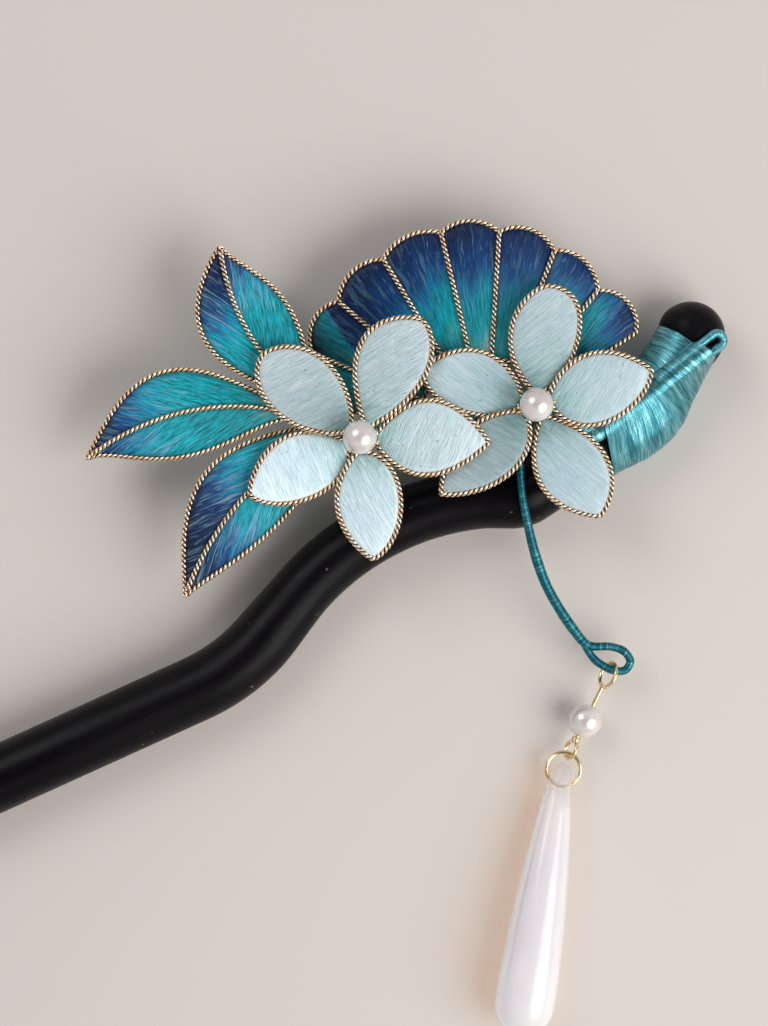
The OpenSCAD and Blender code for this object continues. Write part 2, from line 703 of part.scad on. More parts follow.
// Radius of the drop at a distance from its tip, up to its widest place
widest = drop_l - drop_r - 2;
drop_swell = 1.7;
function drop_radius(s) = drop_r
    - (drop_r - drop_neck_r) * pow((widest - s) / (widest - drop_neck_r), drop_swell);
module teardrop() {
    ball = drop_l - drop_r;
    cap = [for (a = [0 : 22.5 : 67.5]) [drop_neck_r * sin(a), drop_neck_r * (1 - cos(a))]];
    body = [for (f = [0 : 0.1 : 1]) let (s = drop_neck_r + (widest - drop_neck_r) * f) [drop_radius(s), s]];
    end = [for (a = [0 : 15 : 90]) [drop_r * cos(a), ball + drop_r * sin(a)]];
    color([0.90, 0.89, 0.90]) spray() difference() {
        translate(drop_tip) rotate([0, 0, drop_turn]) rotate([0, 90 - drop_tilt, 0])
            rotate_extrude() polygon(concat(cap, body, end));
        translate(ring_at) rotate_extrude() translate([ring_r, 0]) circle(ring_wire_r + ring_clear);
    }
}

module centred() {
    translate([-middle.x, -middle.y, 0]) children();
}

centred() stick();
centred() silk_winding();
centred() stem();
for (i = [1 : 5]) {
    left = left_petals[i - 1];
    right = right_petals[i - 1];
    centred() petal_silk(left_hub, left);
    centred() petal_wire(left_hub, left);
    centred() petal_silk(right_hub, right);
    centred() petal_wire(right_hub, right);
}
for (i = [1 : 3]) {
    centred() leaf_silk(leaves[i - 1]);
    centred() leaf_wire(leaves[i - 1]);
}
centred() fan_silk();  // fan
centred() fan_wire();
centred() pearl(left_hub, left_thread_turn);  // left_pearl
centred() pearl(right_hub, right_thread_turn);  // right_pearl
centred() pearl_wire(left_hub, left_thread_turn);  // left_pearl_wire
centred() pearl_wire(right_hub, right_thread_turn);  // right_pearl_wire
centred() hanger();
centred() eye_pin();
centred() drop_pearl();
centred() jump_ring();
centred() teardrop();
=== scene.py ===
import math

import bpy
import numpy as np
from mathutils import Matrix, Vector


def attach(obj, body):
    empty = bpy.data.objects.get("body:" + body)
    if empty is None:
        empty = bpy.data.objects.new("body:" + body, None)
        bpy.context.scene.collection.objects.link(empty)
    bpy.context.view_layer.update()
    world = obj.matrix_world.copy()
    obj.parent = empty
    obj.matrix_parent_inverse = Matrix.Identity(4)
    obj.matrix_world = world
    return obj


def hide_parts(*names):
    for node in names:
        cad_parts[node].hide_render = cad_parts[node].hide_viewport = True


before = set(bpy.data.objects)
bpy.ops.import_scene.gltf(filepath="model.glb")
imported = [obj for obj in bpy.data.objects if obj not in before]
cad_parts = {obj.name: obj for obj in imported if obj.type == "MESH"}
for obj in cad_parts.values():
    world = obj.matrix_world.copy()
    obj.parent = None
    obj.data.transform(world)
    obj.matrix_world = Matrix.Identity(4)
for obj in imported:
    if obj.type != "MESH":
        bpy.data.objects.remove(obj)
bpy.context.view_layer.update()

print("frame loaded:", len(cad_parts), "nodes")

# The spray's own layout, in mm, as the part's source has it
mm = 0.001
layout = {
    "turn": math.radians(24.4),     # angle of the stick's leg in the layout
    "at": np.array([118.2, 12.6, 0.0]),     # the layout's origin on the stick
    "middle": np.array([87.42, -4.7, 0.0]),     # middle of the whole footprint
}
upward = np.array([0, 0, 1.0])


# Layout to the stick's own lines, in mm: turned back by the leg's angle and moved to its place on the stick
def toStick(points):
    p = np.asarray(points, float)
    c, s = math.cos(layout["turn"]), math.sin(layout["turn"])
    turned = np.stack([p[..., 0] * c + p[..., 1] * s, p[..., 1] * c - p[..., 0] * s], -1)
    return np.concatenate([turned, p[..., 2:]], -1) + layout["at"][:p.shape[-1]]


# Stick lines to the row frame in metres: the footprint's middle is taken off, then a thousandth
def stickToRow(points):
    return (points - layout["middle"]) * mm


# Layout to the row frame: through the stick's own lines
def toRow(points):
    return stickToRow(toStick(points))


# Each vector over its own length
def unit(v):
    v = np.asarray(v, float)
    return v / np.maximum(np.linalg.norm(v, axis=-1, keepdims=True), 1e-12)


# Level unit vector at an angle: cos a to the right and sin a ahead
def heading(degrees):
    a = math.radians(degrees)
    return np.array([math.cos(a), math.sin(a), 0.0])


# Running length along a path: the sum of its steps, with the step back to its start where it is joined
def lengthAlong(path, joined=False):
    path = np.vstack([path, path[:1]]) if joined else path
    return np.concatenate([[0.0], np.cumsum(np.linalg.norm(np.diff(path, axis=0), axis=1))])


# The same path in even steps of about the given spacing; a fourth column is carried along
def evenPath(path, spacing):
    s = lengthAlong(path[:, :3])
    at = np.linspace(0, s[-1], max(3, int(round(s[-1] / spacing)) + 1))
    return np.stack([np.interp(at, s, column) for column in path.T], 1)


# Curve through the points: each span's cubic meets both ends with the mean slope of their neighbours
def curveThrough(points, steps=24):
    p = np.asarray(points, float)
    p = np.vstack([2 * p[0] - p[1], p, 2 * p[-1] - p[-2]])
    u = np.linspace(0, 1, steps, endpoint=False)[:, None]
    a, b, c, d = p[:-3, None], p[1:-2, None], p[2:-1, None], p[3:, None]
    second, third = 2 * a - 5 * b + 4 * c - d, 3 * b - a - 3 * c + d
    spans = 0.5 * (2 * b + (c - a) * u + second * u ** 2 + third * u ** 3)
    return np.vstack([spans.reshape(-1, p.shape[1]), p[-2:-1]])


# Running mean over a window, with the ends held
def softened(path, window):
    half = window // 2
    padded = np.vstack([np.repeat(path[:1], half, 0), path, np.repeat(path[-1:], half, 0)])
    total = np.cumsum(np.vstack([np.zeros((1, path.shape[1])), padded]), 0)
    mean = (total[window:] - total[:-window]) / window
    mean[0], mean[-1] = path[0], path[-1]
    return mean


# Tangent, side and up at each point: side is square to the tangent and to the given normal
def pathFrame(path, normal=(0, 0, 1), joined=False):
    t = unit(np.roll(path, -1, 0) - np.roll(path, 1, 0) if joined else np.gradient(path, axis=0))
    side = unit(np.cross(t, np.asarray(normal, float)))
    return t, side, np.cross(side, t)


# Even angles round a full turn, without its end
def roundAngles(sides):
    return np.linspace(0, 2 * math.pi, sides, endpoint=False)


# A shape in the making: points, faces, and each face corner's spot on the piece's two flat maps
def newShape():
    return {"points": [], "faces": [], "threads": [], "places": [], "count": 0}


# New points and faces, where a face counts its points from the first new one
def addPart(shape, points, faces, threads, places=None):
    points = points.reshape(-1, 3)
    shape["points"].append(points)
    shape["faces"] += (faces + shape["count"]).tolist()
    shape["threads"].append(threads.reshape(-1, 2))
    shape["places"].append((threads * 0 if places is None else places).reshape(-1, 2))
    shape["count"] += len(points)


# Two coordinates spread over the grid that both fit, as one list of pairs
def pairs(two):
    return np.stack(np.broadcast_arrays(*two), -1).reshape(-1, 2)


# A grid of points becomes a skin of four-cornered faces, joined round where asked; its maps run on there
def addSkin(shape, grid, threads, places=None, roundRows=False, roundColumns=False, turned=False):
    rows, columns = grid.shape[:2]
    i, j = np.indices((rows - (not roundRows), columns - (not roundColumns))).reshape(2, -1)
    wide = columns + roundColumns
    order = [(0, 0), (1, 0), (1, 1), (0, 1)] if turned else [(0, 0), (0, 1), (1, 1), (1, 0)]
    faces = np.stack([((i + a) % rows) * columns + (j + b) % columns for a, b in order], 1)
    spots = np.stack([(i + a) * wide + j + b for a, b in order], 1)
    addPart(shape, grid, faces, pairs(threads)[spots], None if places is None else pairs(places)[spots])


# Both ends of the skin just added: triangles from a point of their own to the first ring and to the last
def addCaps(shape, ends, rings, length, around, turned):
    sides = len(around) - 1
    k = np.arange(sides)
    a, b = (k, k + 1) if turned else (k + 1, k)
    first, last = -rings * sides, -sides
    caps = np.vstack([np.stack([0 * k, first + a % sides, first + b % sides], 1),
                      np.stack([0 * k + 1, last + b % sides, last + a % sides], 1)])
    spots = np.zeros((2 * sides, 3, 2))
    spots[sides:, :, 0] = length
    spots[:, 1, 1], spots[:, 2, 1] = around[np.tile(a, 2)], around[np.tile(b, 2)]
    addPart(shape, np.stack(ends), caps, spots)


# A tube along a path: each ring is centre + radius (cos a side + sin a up), with a domed point at each end
def addTube(shape, path, radius, sides, normal=(0, 0, 1), flat=1.0, joined=False, dome=0.35, frames=None):
    t, side, up = frames or pathFrame(path, normal, joined)
    r = np.broadcast_to(radius, len(path))[:, None]
    a = roundAngles(sides)
    out, rise = r * np.cos(a), r * flat * np.sin(a)
    grid = path[:, None] + out[..., None] * side[:, None] + rise[..., None] * up[:, None]
    s = lengthAlong(path, joined)
    share = np.linspace(0, 1, sides + 1)
    around = share * 2 * math.pi * r.mean()
    addSkin(shape, grid, (s[:, None], around), (s[:, None] / s[-1], share), joined, True)
    if not joined:
        ends = path[0] - t[0] * dome * r[0], path[-1] + t[-1] * dome * r[-1]
        addCaps(shape, ends, len(path), s[-1], around, False)


# Twisted wire, in mm: two strands, each half as thick as the rope
rope = {"strand": 0.218, "offset": 0.214, "lay": 1.62, "steps": 12, "sides": 8}


# The centres of the rope's two strands circle the path once a lay, half a turn apart
def addRope(shape, path):
    path = evenPath(path, rope["lay"] / rope["steps"])
    t, side, up = pathFrame(path)
    for half in (0, 1):
        phase = (2 * lengthAlong(path) / rope["lay"] + half)[:, None] * math.pi
        out = np.cos(phase) * side + np.sin(phase) * up
        centre = path + rope["offset"] * out
        along = unit(np.gradient(centre, axis=0))
        across = unit(np.cross(along, out))
        addTube(shape, centre, rope["strand"], rope["sides"], frames=(along, np.cross(across, along), across))


# A profile of radius and height turned round an axis through a point; a closed profile has no ends to cap
def addTurned(shape, profile, at, axis, sides, closed=False, normal=(0, 0, 1)):
    axis = unit(axis)
    e = np.cross(axis, normal)
    e = unit(e) if np.linalg.norm(e) > 1e-3 else np.array([1.0, 0, 0])
    f = np.cross(axis, e)
    a = roundAngles(sides)
    r, h = profile[:, :1], profile[:, 1:]
    grid = at + h[..., None] * axis + (r * np.cos(a))[..., None] * e + (r * np.sin(a))[..., None] * f
    s = lengthAlong(profile, closed)
    around = np.linspace(0, 2 * math.pi, sides + 1) * profile[:, 0].max()
    addSkin(shape, grid, (s[:, None], around), None, closed, True, True)
    if not closed:
        addCaps(shape, (at + h[0] * axis, at + h[-1] * axis), len(profile), s[-1], around, True)


# A closed pad: a top and an under skin over one grid, and the wall that joins them all round the rim. The
# top's threads lie aside by the slip
def addPad(shape, top, under, threads, places, turned=False, slip=0):
    addSkin(shape, top, (threads[0] + slip, threads[1]), places, turned=turned)
    addSkin(shape, under, threads, places, turned=not turned)
    size = top.shape[0] * top.shape[1]
    spots = np.arange(size).reshape(top.shape[:2])
    ring = np.concatenate([spots[0], spots[1:, -1], spots[-1, -2::-1], spots[-2:0:-1, 0]])
    after = np.roll(ring, -1)
    corner = np.stack([ring, after, after, ring] if turned else [ring, ring, after, after], 1)
    below = np.array([0, 0, size, size] if turned else [0, size, size, 0])
    addPart(shape, np.zeros((0, 3)), corner + below - 2 * size, pairs(threads)[corner], pairs(places)[corner])


# The finished piece, smooth, its points in the row frame, with two flat maps: threads, in mm, and place, a
# share of the piece. A silk piece also has its painted shading, a painted light or shade its colour is
# multiplied by
def makePiece(name, shape, material, node, paintedShading=None, toFrame=toRow):
    mesh = bpy.data.meshes.new(name)
    mesh.from_pydata(toFrame(np.vstack(shape["points"])).tolist(), [], shape["faces"])
    mesh.polygons.foreach_set("use_smooth", np.ones(len(mesh.polygons), bool))
    for label, values in (("threads", shape["threads"]), ("place", shape["places"])):
        layer = mesh.uv_layers.new(name=label)
        layer.data.foreach_set("uv", np.vstack(values).astype(np.float32).ravel())
    mesh.validate()
    mesh.update()
    # a silk piece's painted shading: painted light or shade at each point, multiplied into its colour
    if paintedShading is not None:
        tones = np.full(len(mesh.vertices), paintedShading, np.float32)
        mesh.attributes.new("paintedShading", "FLOAT", "POINT").data.foreach_set("value", tones)
    piece = bpy.data.objects.new(name, mesh)
    bpy.context.scene.collection.objects.link(piece)
    mesh.materials.append(material)
    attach(piece, "root")
    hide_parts(node)


# One node with its values: sockets by their labels, settings by their names
def addNode(tree, kind, **values):
    node = tree.nodes.new("ShaderNode" + kind)
    for key, value in values.items():
        if key in node.inputs:
            node.inputs[key].default_value = value
        else:
            setattr(node, key, value)
    return node


# Another node's socket linked to this one, or a plain value set on it
def plug(tree, value, socket):
    if isinstance(value, bpy.types.NodeSocket):
        tree.links.new(value, socket)
    else:
        socket.default_value = value


# Plain values set on a shader's own sockets
def setAll(shader, values):
    for label, value in values.items():
        shader.inputs[label].default_value = value


# One step of arithmetic
def mathNode(tree, operation, a, b=0.0, clamp=False):
    node = addNode(tree, "Math", operation=operation, use_clamp=clamp)
    plug(tree, a, node.inputs[0])
    plug(tree, b, node.inputs[1])
    return node.outputs[0]


# One value times another
def times(tree, a, b):
    return mathNode(tree, "MULTIPLY", a, b)


# How far a value stands above a level, times a gain, held between 0 and 1
def standing(tree, value, level, gain):
    return mathNode(tree, "MULTIPLY", mathNode(tree, "SUBTRACT", value, level), gain, True)


# A value's even climb, or fall, from one range to another
def rangeNode(tree, value, fromLow, fromHigh, toLow, toHigh):
    sockets = {"From Min": fromLow, "From Max": fromHigh, "To Min": toLow, "To Max": toHigh}
    node = addNode(tree, "MapRange", **sockets)
    tree.links.new(value, node.inputs["Value"])
    return node.outputs[0]


# Roughness goes from the first value to the last as an unevenness goes from 0.3 to 0.7
def addRoughness(tree, shader, unevenness, first, last):
    tree.links.new(rangeNode(tree, unevenness, 0.3, 0.7, first, last), shader.inputs["Roughness"])


# Linear colour of a screen colour given from 0 to 255, times a shade
def paint(r, g, b, shade=1.0):
    linear = [((c / 255 + 0.055) / 1.055) ** 2.4 if c > 10 else c / 255 / 12.92 for c in (r, g, b)]
    return (*(c * shade for c in linear), 1)


# Linear colours, each run evenly into the next between their stops
def rampNode(tree, factor, stops):
    node = addNode(tree, "ValToRGB")
    elements = node.color_ramp.elements
    while len(elements) < len(stops):
        elements.new(0.5)
    for element, (at, colour) in zip(elements, stops):
        element.position = at
        element.color = colour
    tree.links.new(factor, node.inputs["Fac"])
    return node.outputs["Color"]


# The same for screen colours, made linear first
def paintRamp(tree, factor, stops):
    return rampNode(tree, factor, [(at, paint(*colour)) for at, colour in stops])


# The same for greys, where 1 is white
def greyRamp(tree, factor, stops):
    return rampNode(tree, factor, [(at, (grey, grey, grey, 1)) for at, grey in stops])


# One colour laid over another by a share, or multiplied into it
def mixColour(tree, share, a, b, blend="MIX"):
    node = addNode(tree, "Mix", data_type="RGBA", blend_type=blend)
    for label, value in (("Factor", share), ("A", a), ("B", b)):
        plug(tree, value, node.inputs[label])
    return node.outputs["Result"]


# The two coordinates of one of the piece's flat maps
def mapSockets(tree, name):
    spot = addNode(tree, "UVMap", uv_map=name)
    split = addNode(tree, "SeparateXYZ")
    tree.links.new(spot.outputs[0], split.inputs[0])
    return split.outputs["X"], split.outputs["Y"]


# Cloudy noise on the object's own coordinates
def addCloud(tree, scale, detail):
    spot = addNode(tree, "TexCoord")
    noise = addNode(tree, "TexNoise", Scale=scale, Detail=detail)
    tree.links.new(spot.outputs["Object"], noise.inputs["Vector"])
    return noise.outputs[0]


# Relief: a height times its distance, in metres, tips the shading by the share that strength gives
def addBump(tree, height, distance, strength, shader):
    bump = addNode(tree, "Bump", Distance=distance, Strength=strength)
    tree.links.new(height, bump.inputs["Height"])
    tree.links.new(bump.outputs[0], shader.inputs["Normal"])


# A new material with its nodes and its shader
def newMaterial(name):
    material = bpy.data.materials.new(name)
    material.use_nodes = True
    return material, material.node_tree, material.node_tree.nodes["Principled BSDF"]


# Silk floss: noise drawn out along the threads gives fine threads, bundles, a broad tone and stray fibres. A
# noise has its stretch across the threads, its stretch along them and its offset
floss = {
    "bundle": (2.4, 0.13, 4.0), "broad": (0.8, 0.12, 7.0), "stray": (4.4, 0.45, 9.0),
    "sway": 0.35, "swayBy": 6.0,
    "strayAbove": 0.585, "strayGain": 8.0, "bundleHeight": 0.7, "strayHeight": 0.35,
}


# Across the threads, the place sways by a slow noise less a half, times the waver; the height is the fine
# noise plus a share of the bundles and a share of the stray fibres
def makeFlossGroup():
    group = bpy.data.node_groups.new("silkFloss", "ShaderNodeTree")
    face = group.interface
    face.new_socket(name="Threads", in_out="INPUT", socket_type="NodeSocketVector")
    for label, value in (("Fine", 7.0), ("Length", 0.35), ("Waver", 0.25)):
        face.new_socket(name=label, in_out="INPUT", socket_type="NodeSocketFloat").default_value = value
    for label in ("Fine", "Bundle", "Broad", "Stray", "Height"):
        face.new_socket(name=label, in_out="OUTPUT", socket_type="NodeSocketFloat")
    start = group.nodes.new("NodeGroupInput")
    end = group.nodes.new("NodeGroupOutput")
    split = addNode(group, "SeparateXYZ")
    group.links.new(start.outputs["Threads"], split.inputs[0])
    sway = addNode(group, "TexNoise", Scale=floss["sway"], Detail=1.0)
    group.links.new(start.outputs["Threads"], sway.inputs["Vector"])
    shift = times(group, mathNode(group, "SUBTRACT", sway.outputs[0], 0.5), start.outputs["Waver"])
    across = mathNode(group, "ADD", split.outputs["X"], times(group, shift, floss["swayBy"]))

    # noise at the place across and along, each times its own stretch
    def drawn(acrossBy, alongBy, offset):
        spot = addNode(group, "CombineXYZ", Z=offset)
        group.links.new(times(group, across, acrossBy), spot.inputs[0])
        group.links.new(times(group, split.outputs["Y"], alongBy), spot.inputs[1])
        noise = addNode(group, "TexNoise", Scale=1.0, Detail=2.0, Roughness=0.6)
        group.links.new(spot.outputs[0], noise.inputs["Vector"])
        return noise.outputs[0]

    fine = drawn(start.outputs["Fine"], start.outputs["Length"], 0.0)
    bundle, broad, stray = (drawn(*floss[label]) for label in ("bundle", "broad", "stray"))
    fibre = standing(group, stray, floss["strayAbove"], floss["strayGain"])
    height = mathNode(group, "ADD", fine, times(group, bundle, floss["bundleHeight"]))
    height = mathNode(group, "ADD", height, times(group, fibre, floss["strayHeight"]))
    results = {"Fine": fine, "Bundle": bundle, "Broad": broad, "Stray": fibre, "Height": height}
    for label, value in results.items():
        group.links.new(value, end.inputs[label])
    return group


flossGroup = makeFlossGroup()


# The floss group in a material, on the thread map, with gloss drawn out square to the threads and its relief
def addFloss(tree, shader, fine, length, waver, satin, relief):
    spot = addNode(tree, "UVMap", uv_map="threads")
    group = addNode(tree, "Group", node_tree=flossGroup)
    tree.links.new(spot.outputs[0], group.inputs["Threads"])
    setAll(group, {"Fine": fine, "Length": length, "Waver": waver})
    across = addNode(tree, "Tangent", direction_type="UV_MAP", uv_map="threads")
    tree.links.new(across.outputs[0], shader.inputs["Tangent"])
    shader.inputs["Anisotropic"].default_value = satin
    addBump(tree, group.outputs["Height"], relief, 0.7, shader)
    return group.outputs


# Silk laid on a panel: the colour runs along the piece from foot to tip, its borders broken up by broad,
# bundled and fine unevenness; pale streaks show in one band. Beside the wire a painted highlight lightens the
# petals' edges, and a painted shade darkens the leaves' and the fan's
silks = {
    "petalSilkLeft": {
        "stops": [(0.0, (146, 182, 182)), (0.2, (176, 206, 212)), (0.6, (192, 215, 224)),
                  (1.0, (210, 229, 237))],
        "ragged": (0.9, 0.4, 0.1), "fine": 4.8, "threads": (0.84, 1.12), "pale": (244, 250, 253),
        "streak": 0.3, "band": (0.0, 0.2, 1.0), "stray": 0.7, "edgeShading": ((236, 246, 250), 0.45), "speck": 0.5,
        "relief": 0.0003, "gloss": 0.5, "sheen": 0.1},
    "petalSilkRight": {
        "stops": [(0.0, (136, 174, 174)), (0.25, (168, 201, 207)), (0.6, (184, 210, 219)),
                  (1.0, (202, 223, 231))],
        "ragged": (0.8, 0.4, 0.1), "fine": 4.8, "threads": (0.87, 1.1), "pale": (234, 245, 248),
        "streak": 0.2, "band": (0.0, 0.2, 1.0), "stray": 0.4, "edgeShading": ((226, 240, 246), 0.4), "speck": 0.45,
        "relief": 0.00022, "gloss": 0.45, "sheen": 0.1},
    "leafSilk": {
        "stops": [(0.0, (112, 166, 166)), (0.16, (6, 140, 152)), (0.55, (8, 166, 180)),
                  (0.65, (24, 150, 186)), (0.71, (28, 98, 154)), (0.78, (10, 50, 104)), (0.94, (5, 24, 62))],
        "ragged": (0.28, 0.5, 0.4), "fine": 4.6, "threads": (0.48, 1.55), "pale": (156, 208, 232),
        "streak": 0.65, "band": (0.45, 0.7, 0.6), "stray": 0.45, "edgeShading": ((4, 36, 56), 0.35), "speck": 0.0,
        "relief": 0.0003, "gloss": 0.28, "sheen": 0.0},
    "fanSilk": {
        "stops": [(0.0, (156, 200, 200)), (0.09, (84, 176, 180)), (0.2, (4, 148, 160)), (0.45, (6, 130, 152)),
                  (0.57, (16, 98, 144)), (0.67, (8, 56, 112)), (0.95, (4, 24, 62))],
        "ragged": (0.25, 0.5, 0.36), "fine": 4.6, "threads": (0.48, 1.5), "pale": (112, 172, 204),
        "streak": 0.42, "band": (0.3, 0.52, 0.45), "stray": 0.3, "edgeShading": ((4, 18, 38), 0.45), "speck": 0.0,
        "relief": 0.0003, "gloss": 0.25, "sheen": 0.0},
}
silkDust = {"scale": 1000.0, "above": 0.74, "gain": 18.0, "colour": (70, 92, 96)}


# The place along the piece plus each unevenness, less a half and times its share, picks the colour; the
# threads' grey and the piece's painted shading, its painted light or shade, are multiplied into it
def makeSilk(name, silk):
    material, tree, shader = newMaterial(name)
    outputs = addFloss(tree, shader, silk["fine"], 0.4, 0.08, 0.6, silk["relief"])
    along, aside = mapSockets(tree, "place")
    for label, share in zip(("Broad", "Bundle", "Fine"), silk["ragged"]):
        uneven = mathNode(tree, "SUBTRACT", outputs[label], 0.5)
        along = mathNode(tree, "ADD", along, times(tree, uneven, share))
    dark, light = silk["threads"]
    threads = greyRamp(tree, outputs["Fine"], [(0.34, dark), (0.66, light)])
    colour = mixColour(tree, 1.0, paintRamp(tree, along, silk["stops"]), threads, "MULTIPLY")
    begins, full, atTip = silk["band"]
    band = greyRamp(tree, along, [(begins, 0), (full, 1), (1.0, atTip)])
    streak = times(tree, times(tree, standing(tree, outputs["Bundle"], 0.53, 7.0), band), silk["streak"])
    colour = mixColour(tree, streak, colour, paint(*silk["pale"]))
    colour = mixColour(tree, times(tree, outputs["Stray"], silk["stray"]), colour, paint(*silk["pale"]))
    # painted light and shade at the edge: paler on the petals where the silk turns over the edge and catches
    # the light, darker on the leaves and fan beside the wire
    edgeShadingColour, edgeShadingShare = silk["edgeShading"]
    edgeShading = times(tree, standing(tree, mathNode(tree, "ABSOLUTE", aside), 0.84, 7.0), edgeShadingShare)
    colour = mixColour(tree, edgeShading, colour, paint(*edgeShadingColour))
    dust = standing(tree, addCloud(tree, silkDust["scale"], 1.0), silkDust["above"], silkDust["gain"])
    colour = mixColour(tree, times(tree, dust, silk["speck"]), colour, paint(*silkDust["colour"]))
    # painted light and shade: the piece's own brightness, set for how the light falls on it, is multiplied in
    paintedShading = addNode(tree, "Attribute", attribute_name="paintedShading")
    tree.links.new(mixColour(tree, 1.0, colour, paintedShading.outputs["Fac"], "MULTIPLY"), shader.inputs["Base Color"])
    addRoughness(tree, shader, outputs["Fine"], 0.5, 0.36)
    setAll(shader, {"Specular IOR Level": silk["gloss"], "Sheen Weight": silk["sheen"],
                    "Sheen Roughness": 0.35})
    return material


materials = {name: makeSilk(name, silk) for name, silk in silks.items()}
print("silk made")

# Silk thread wound round something: fine turns, uneven in tone, with a sheen across them
windings = {
    "neckSilk": {"stops": [(0.38, (36, 108, 120)), (0.5, (88, 170, 183)), (0.62, (168, 230, 239))],
                 "rough": 0.38, "satin": 0.85, "lustre": 0.95, "relief": 0.0002},
    "stemSilk": {"stops": [(0.36, (48, 122, 134)), (0.5, (98, 178, 190)), (0.64, (166, 230, 236))],
                 "rough": 0.4, "satin": 0.75, "lustre": 0.9, "relief": 0.00012},
    "hangerSilk": {"stops": [(0.36, (8, 72, 86)), (0.5, (24, 106, 120)), (0.64, (70, 160, 172))],
                   "rough": 0.38, "satin": 0.75, "lustre": 0.8, "relief": 0.00008},
}
windingTone = {"Fine": 0.4, "Bundle": 0.3, "Broad": 0.3}
windingStray = {"share": 0.35, "colour": (190, 236, 240)}


# The fine, bundled and broad unevenness, each times its share, add up to pick the colour
def makeWinding(name, silk):
    material, tree, shader = newMaterial(name)
    outputs = addFloss(tree, shader, 6.5, 0.22, 0.1, silk["satin"], silk["relief"])
    mixed = 0.0
    for label, share in windingTone.items():
        mixed = mathNode(tree, "ADD", times(tree, outputs[label], share), mixed)
    stray = times(tree, outputs["Stray"], windingStray["share"])
    colour = mixColour(tree, stray, paintRamp(tree, mixed, silk["stops"]), paint(*windingStray["colour"]))
    tree.links.new(colour, shader.inputs["Base Color"])
    addRoughness(tree, shader, outputs["Fine"], silk["rough"] + 0.1, silk["rough"] - 0.06)
    setAll(shader, {"Metallic": silk["lustre"], "Specular IOR Level": 0.6})
    return material


materials.update({name: makeWinding(name, silk) for name, silk in windings.items()})

# Plated wire: the rose-gold twist, with painted shade where its strands meet, and the paler gold of the drop
platings = {
    "copperGold": {"colour": (255, 236, 210), "worn": (228, 186, 146), "rough": 0.26,
                   "grain": 900.0, "grooveShade": 0.94},
    "paleGold": {"colour": (250, 232, 194), "worn": (226, 190, 136), "rough": 0.13,
                 "grain": 700.0, "grooveShade": 0.0},
}
grooveShadeColour = (84, 44, 22)


# The place map's second coordinate runs round a strand from 0 to 1, and is 0.5 where it faces its neighbour
def makePlating(name, plating):
    material, tree, shader = newMaterial(name)
    noise = addCloud(tree, plating["grain"], 3.0)
    colour = paintRamp(tree, noise, [(0.35, plating["worn"]), (0.6, plating["colour"])])
    turn = mapSockets(tree, "place")[1]
    aside = mathNode(tree, "ABSOLUTE", mathNode(tree, "SUBTRACT", turn, 0.5))
    groove = greyRamp(tree, aside, [(0.24, 1), (0.34, 0)])
    # painted shade in the groove, where one strand faces the other
    colour = mixColour(tree, times(tree, groove, plating["grooveShade"]), colour, paint(*grooveShadeColour))
    tree.links.new(colour, shader.inputs["Base Color"])
    addRoughness(tree, shader, noise, plating["rough"] + 0.14, plating["rough"] - 0.04)
    setAll(shader, {"Metallic": 1.0})
    addBump(tree, noise, 0.00004, 0.25, shader)
    return material


materials.update({name: makePlating(name, plating) for name, plating in platings.items()})

# The two flowers, in mm: hub, foot of the hub, turn of the wire through the pearl, and petals. A petal has
# its angle, length, left and right half width, how soon it widens, how round its tip is, sideways bend, lift
# above the lower petals, rise to the tip, angle of its threads to its line, and its painted shading: painted
# light or shade for how the light falls on it, multiplied into its colour
flowers = {
    "left": {"hub": np.array([-3.6, 11.3, 13.8]), "low": 11.0, "turn": 167, "petals": [
        (140, 16.9, 5.3, 4.8, 0.8, 0.6, -0.4, 1, 0.2, -112, 0.87),
        (62, 17.6, 6.4, 3.9, 1, 0.65, -0.1, 1, 0.4, -32, 0.9),
        (-2, 17.1, 2.7, 7.9, 0.9, 1, 3, 0, 1.2, 68, 1.1),
        (-84, 16, 7, 2, 0.7, 0.75, -2.2, 1, -0.6, 24, 1.22),
        (-153, 16.4, 6.7, 2.6, 0.7, 0.75, -2.3, 0, 0, 84, 1.42)]},
    "right": {"hub": np.array([22.8, 16.2, 12.8]), "low": 10.2, "turn": 10, "petals": [
        (83, 15.8, 3, 6.7, 0.7, 0.5, 1.8, 0, 0.4, -48, 0.9),
        (17, 15.9, 2, 7.9, 0.7, 0.8, 2.7, 1, 0, 40, 1.0),
        (-60, 17, 8, 2, 0.95, 0.8, -3, 0, 0, 20, 0.99),
        (-137, 17.2, 6, 2.4, 0.75, 0.9, -1.5, 1, -0.7, -70, 0.68),
        (162, 15.4, 6, 2.8, 0.7, 0.65, -2.1, 0, 0, -20, 1.05)]},
}
panel = {
    "foot": 0.56, "from": 2.3, "step": 1.1, "half": 0.25, "swell": 0.45, "tuck": 0.3, "wire": 0.53,
    "petalArch": 0.1,
}

# Leaves: foot, angle, length, bend, left side, right side, foot height, tip height, stalk's angle at the hub,
# and how far the colours of its left and its right half are moved towards its foot
leaves = [
    ((-8.9, 15.8), 123, 29.2, 3.5, (6.2, 1.7, 0.85), (6.9, 1.6, 1.35), 12.6, 10.6, 132, (0.02, -0.12)),
    ((-11.9, 14.7), -169, 33.8, -4, (6.3, 1.75, 1.5), (6.5, 1.75, 1.15), 12.6, 8.6, 166, (-0.09, -0.05)),
    ((-5.8, 13.7), -132.7, 35.8, -3.6, (6.2, 1.2, 1.2), (6.5, 1.45, 1.2), 11.2, 10.8, 132, (0.02, 0.17)),
]
leaf = {"arch": 0.8, "threadAngle": 24, "rib": 0.66, "ribFrom": 0.06, "ribTo": 0.975, "stalkEnd": 2.25}


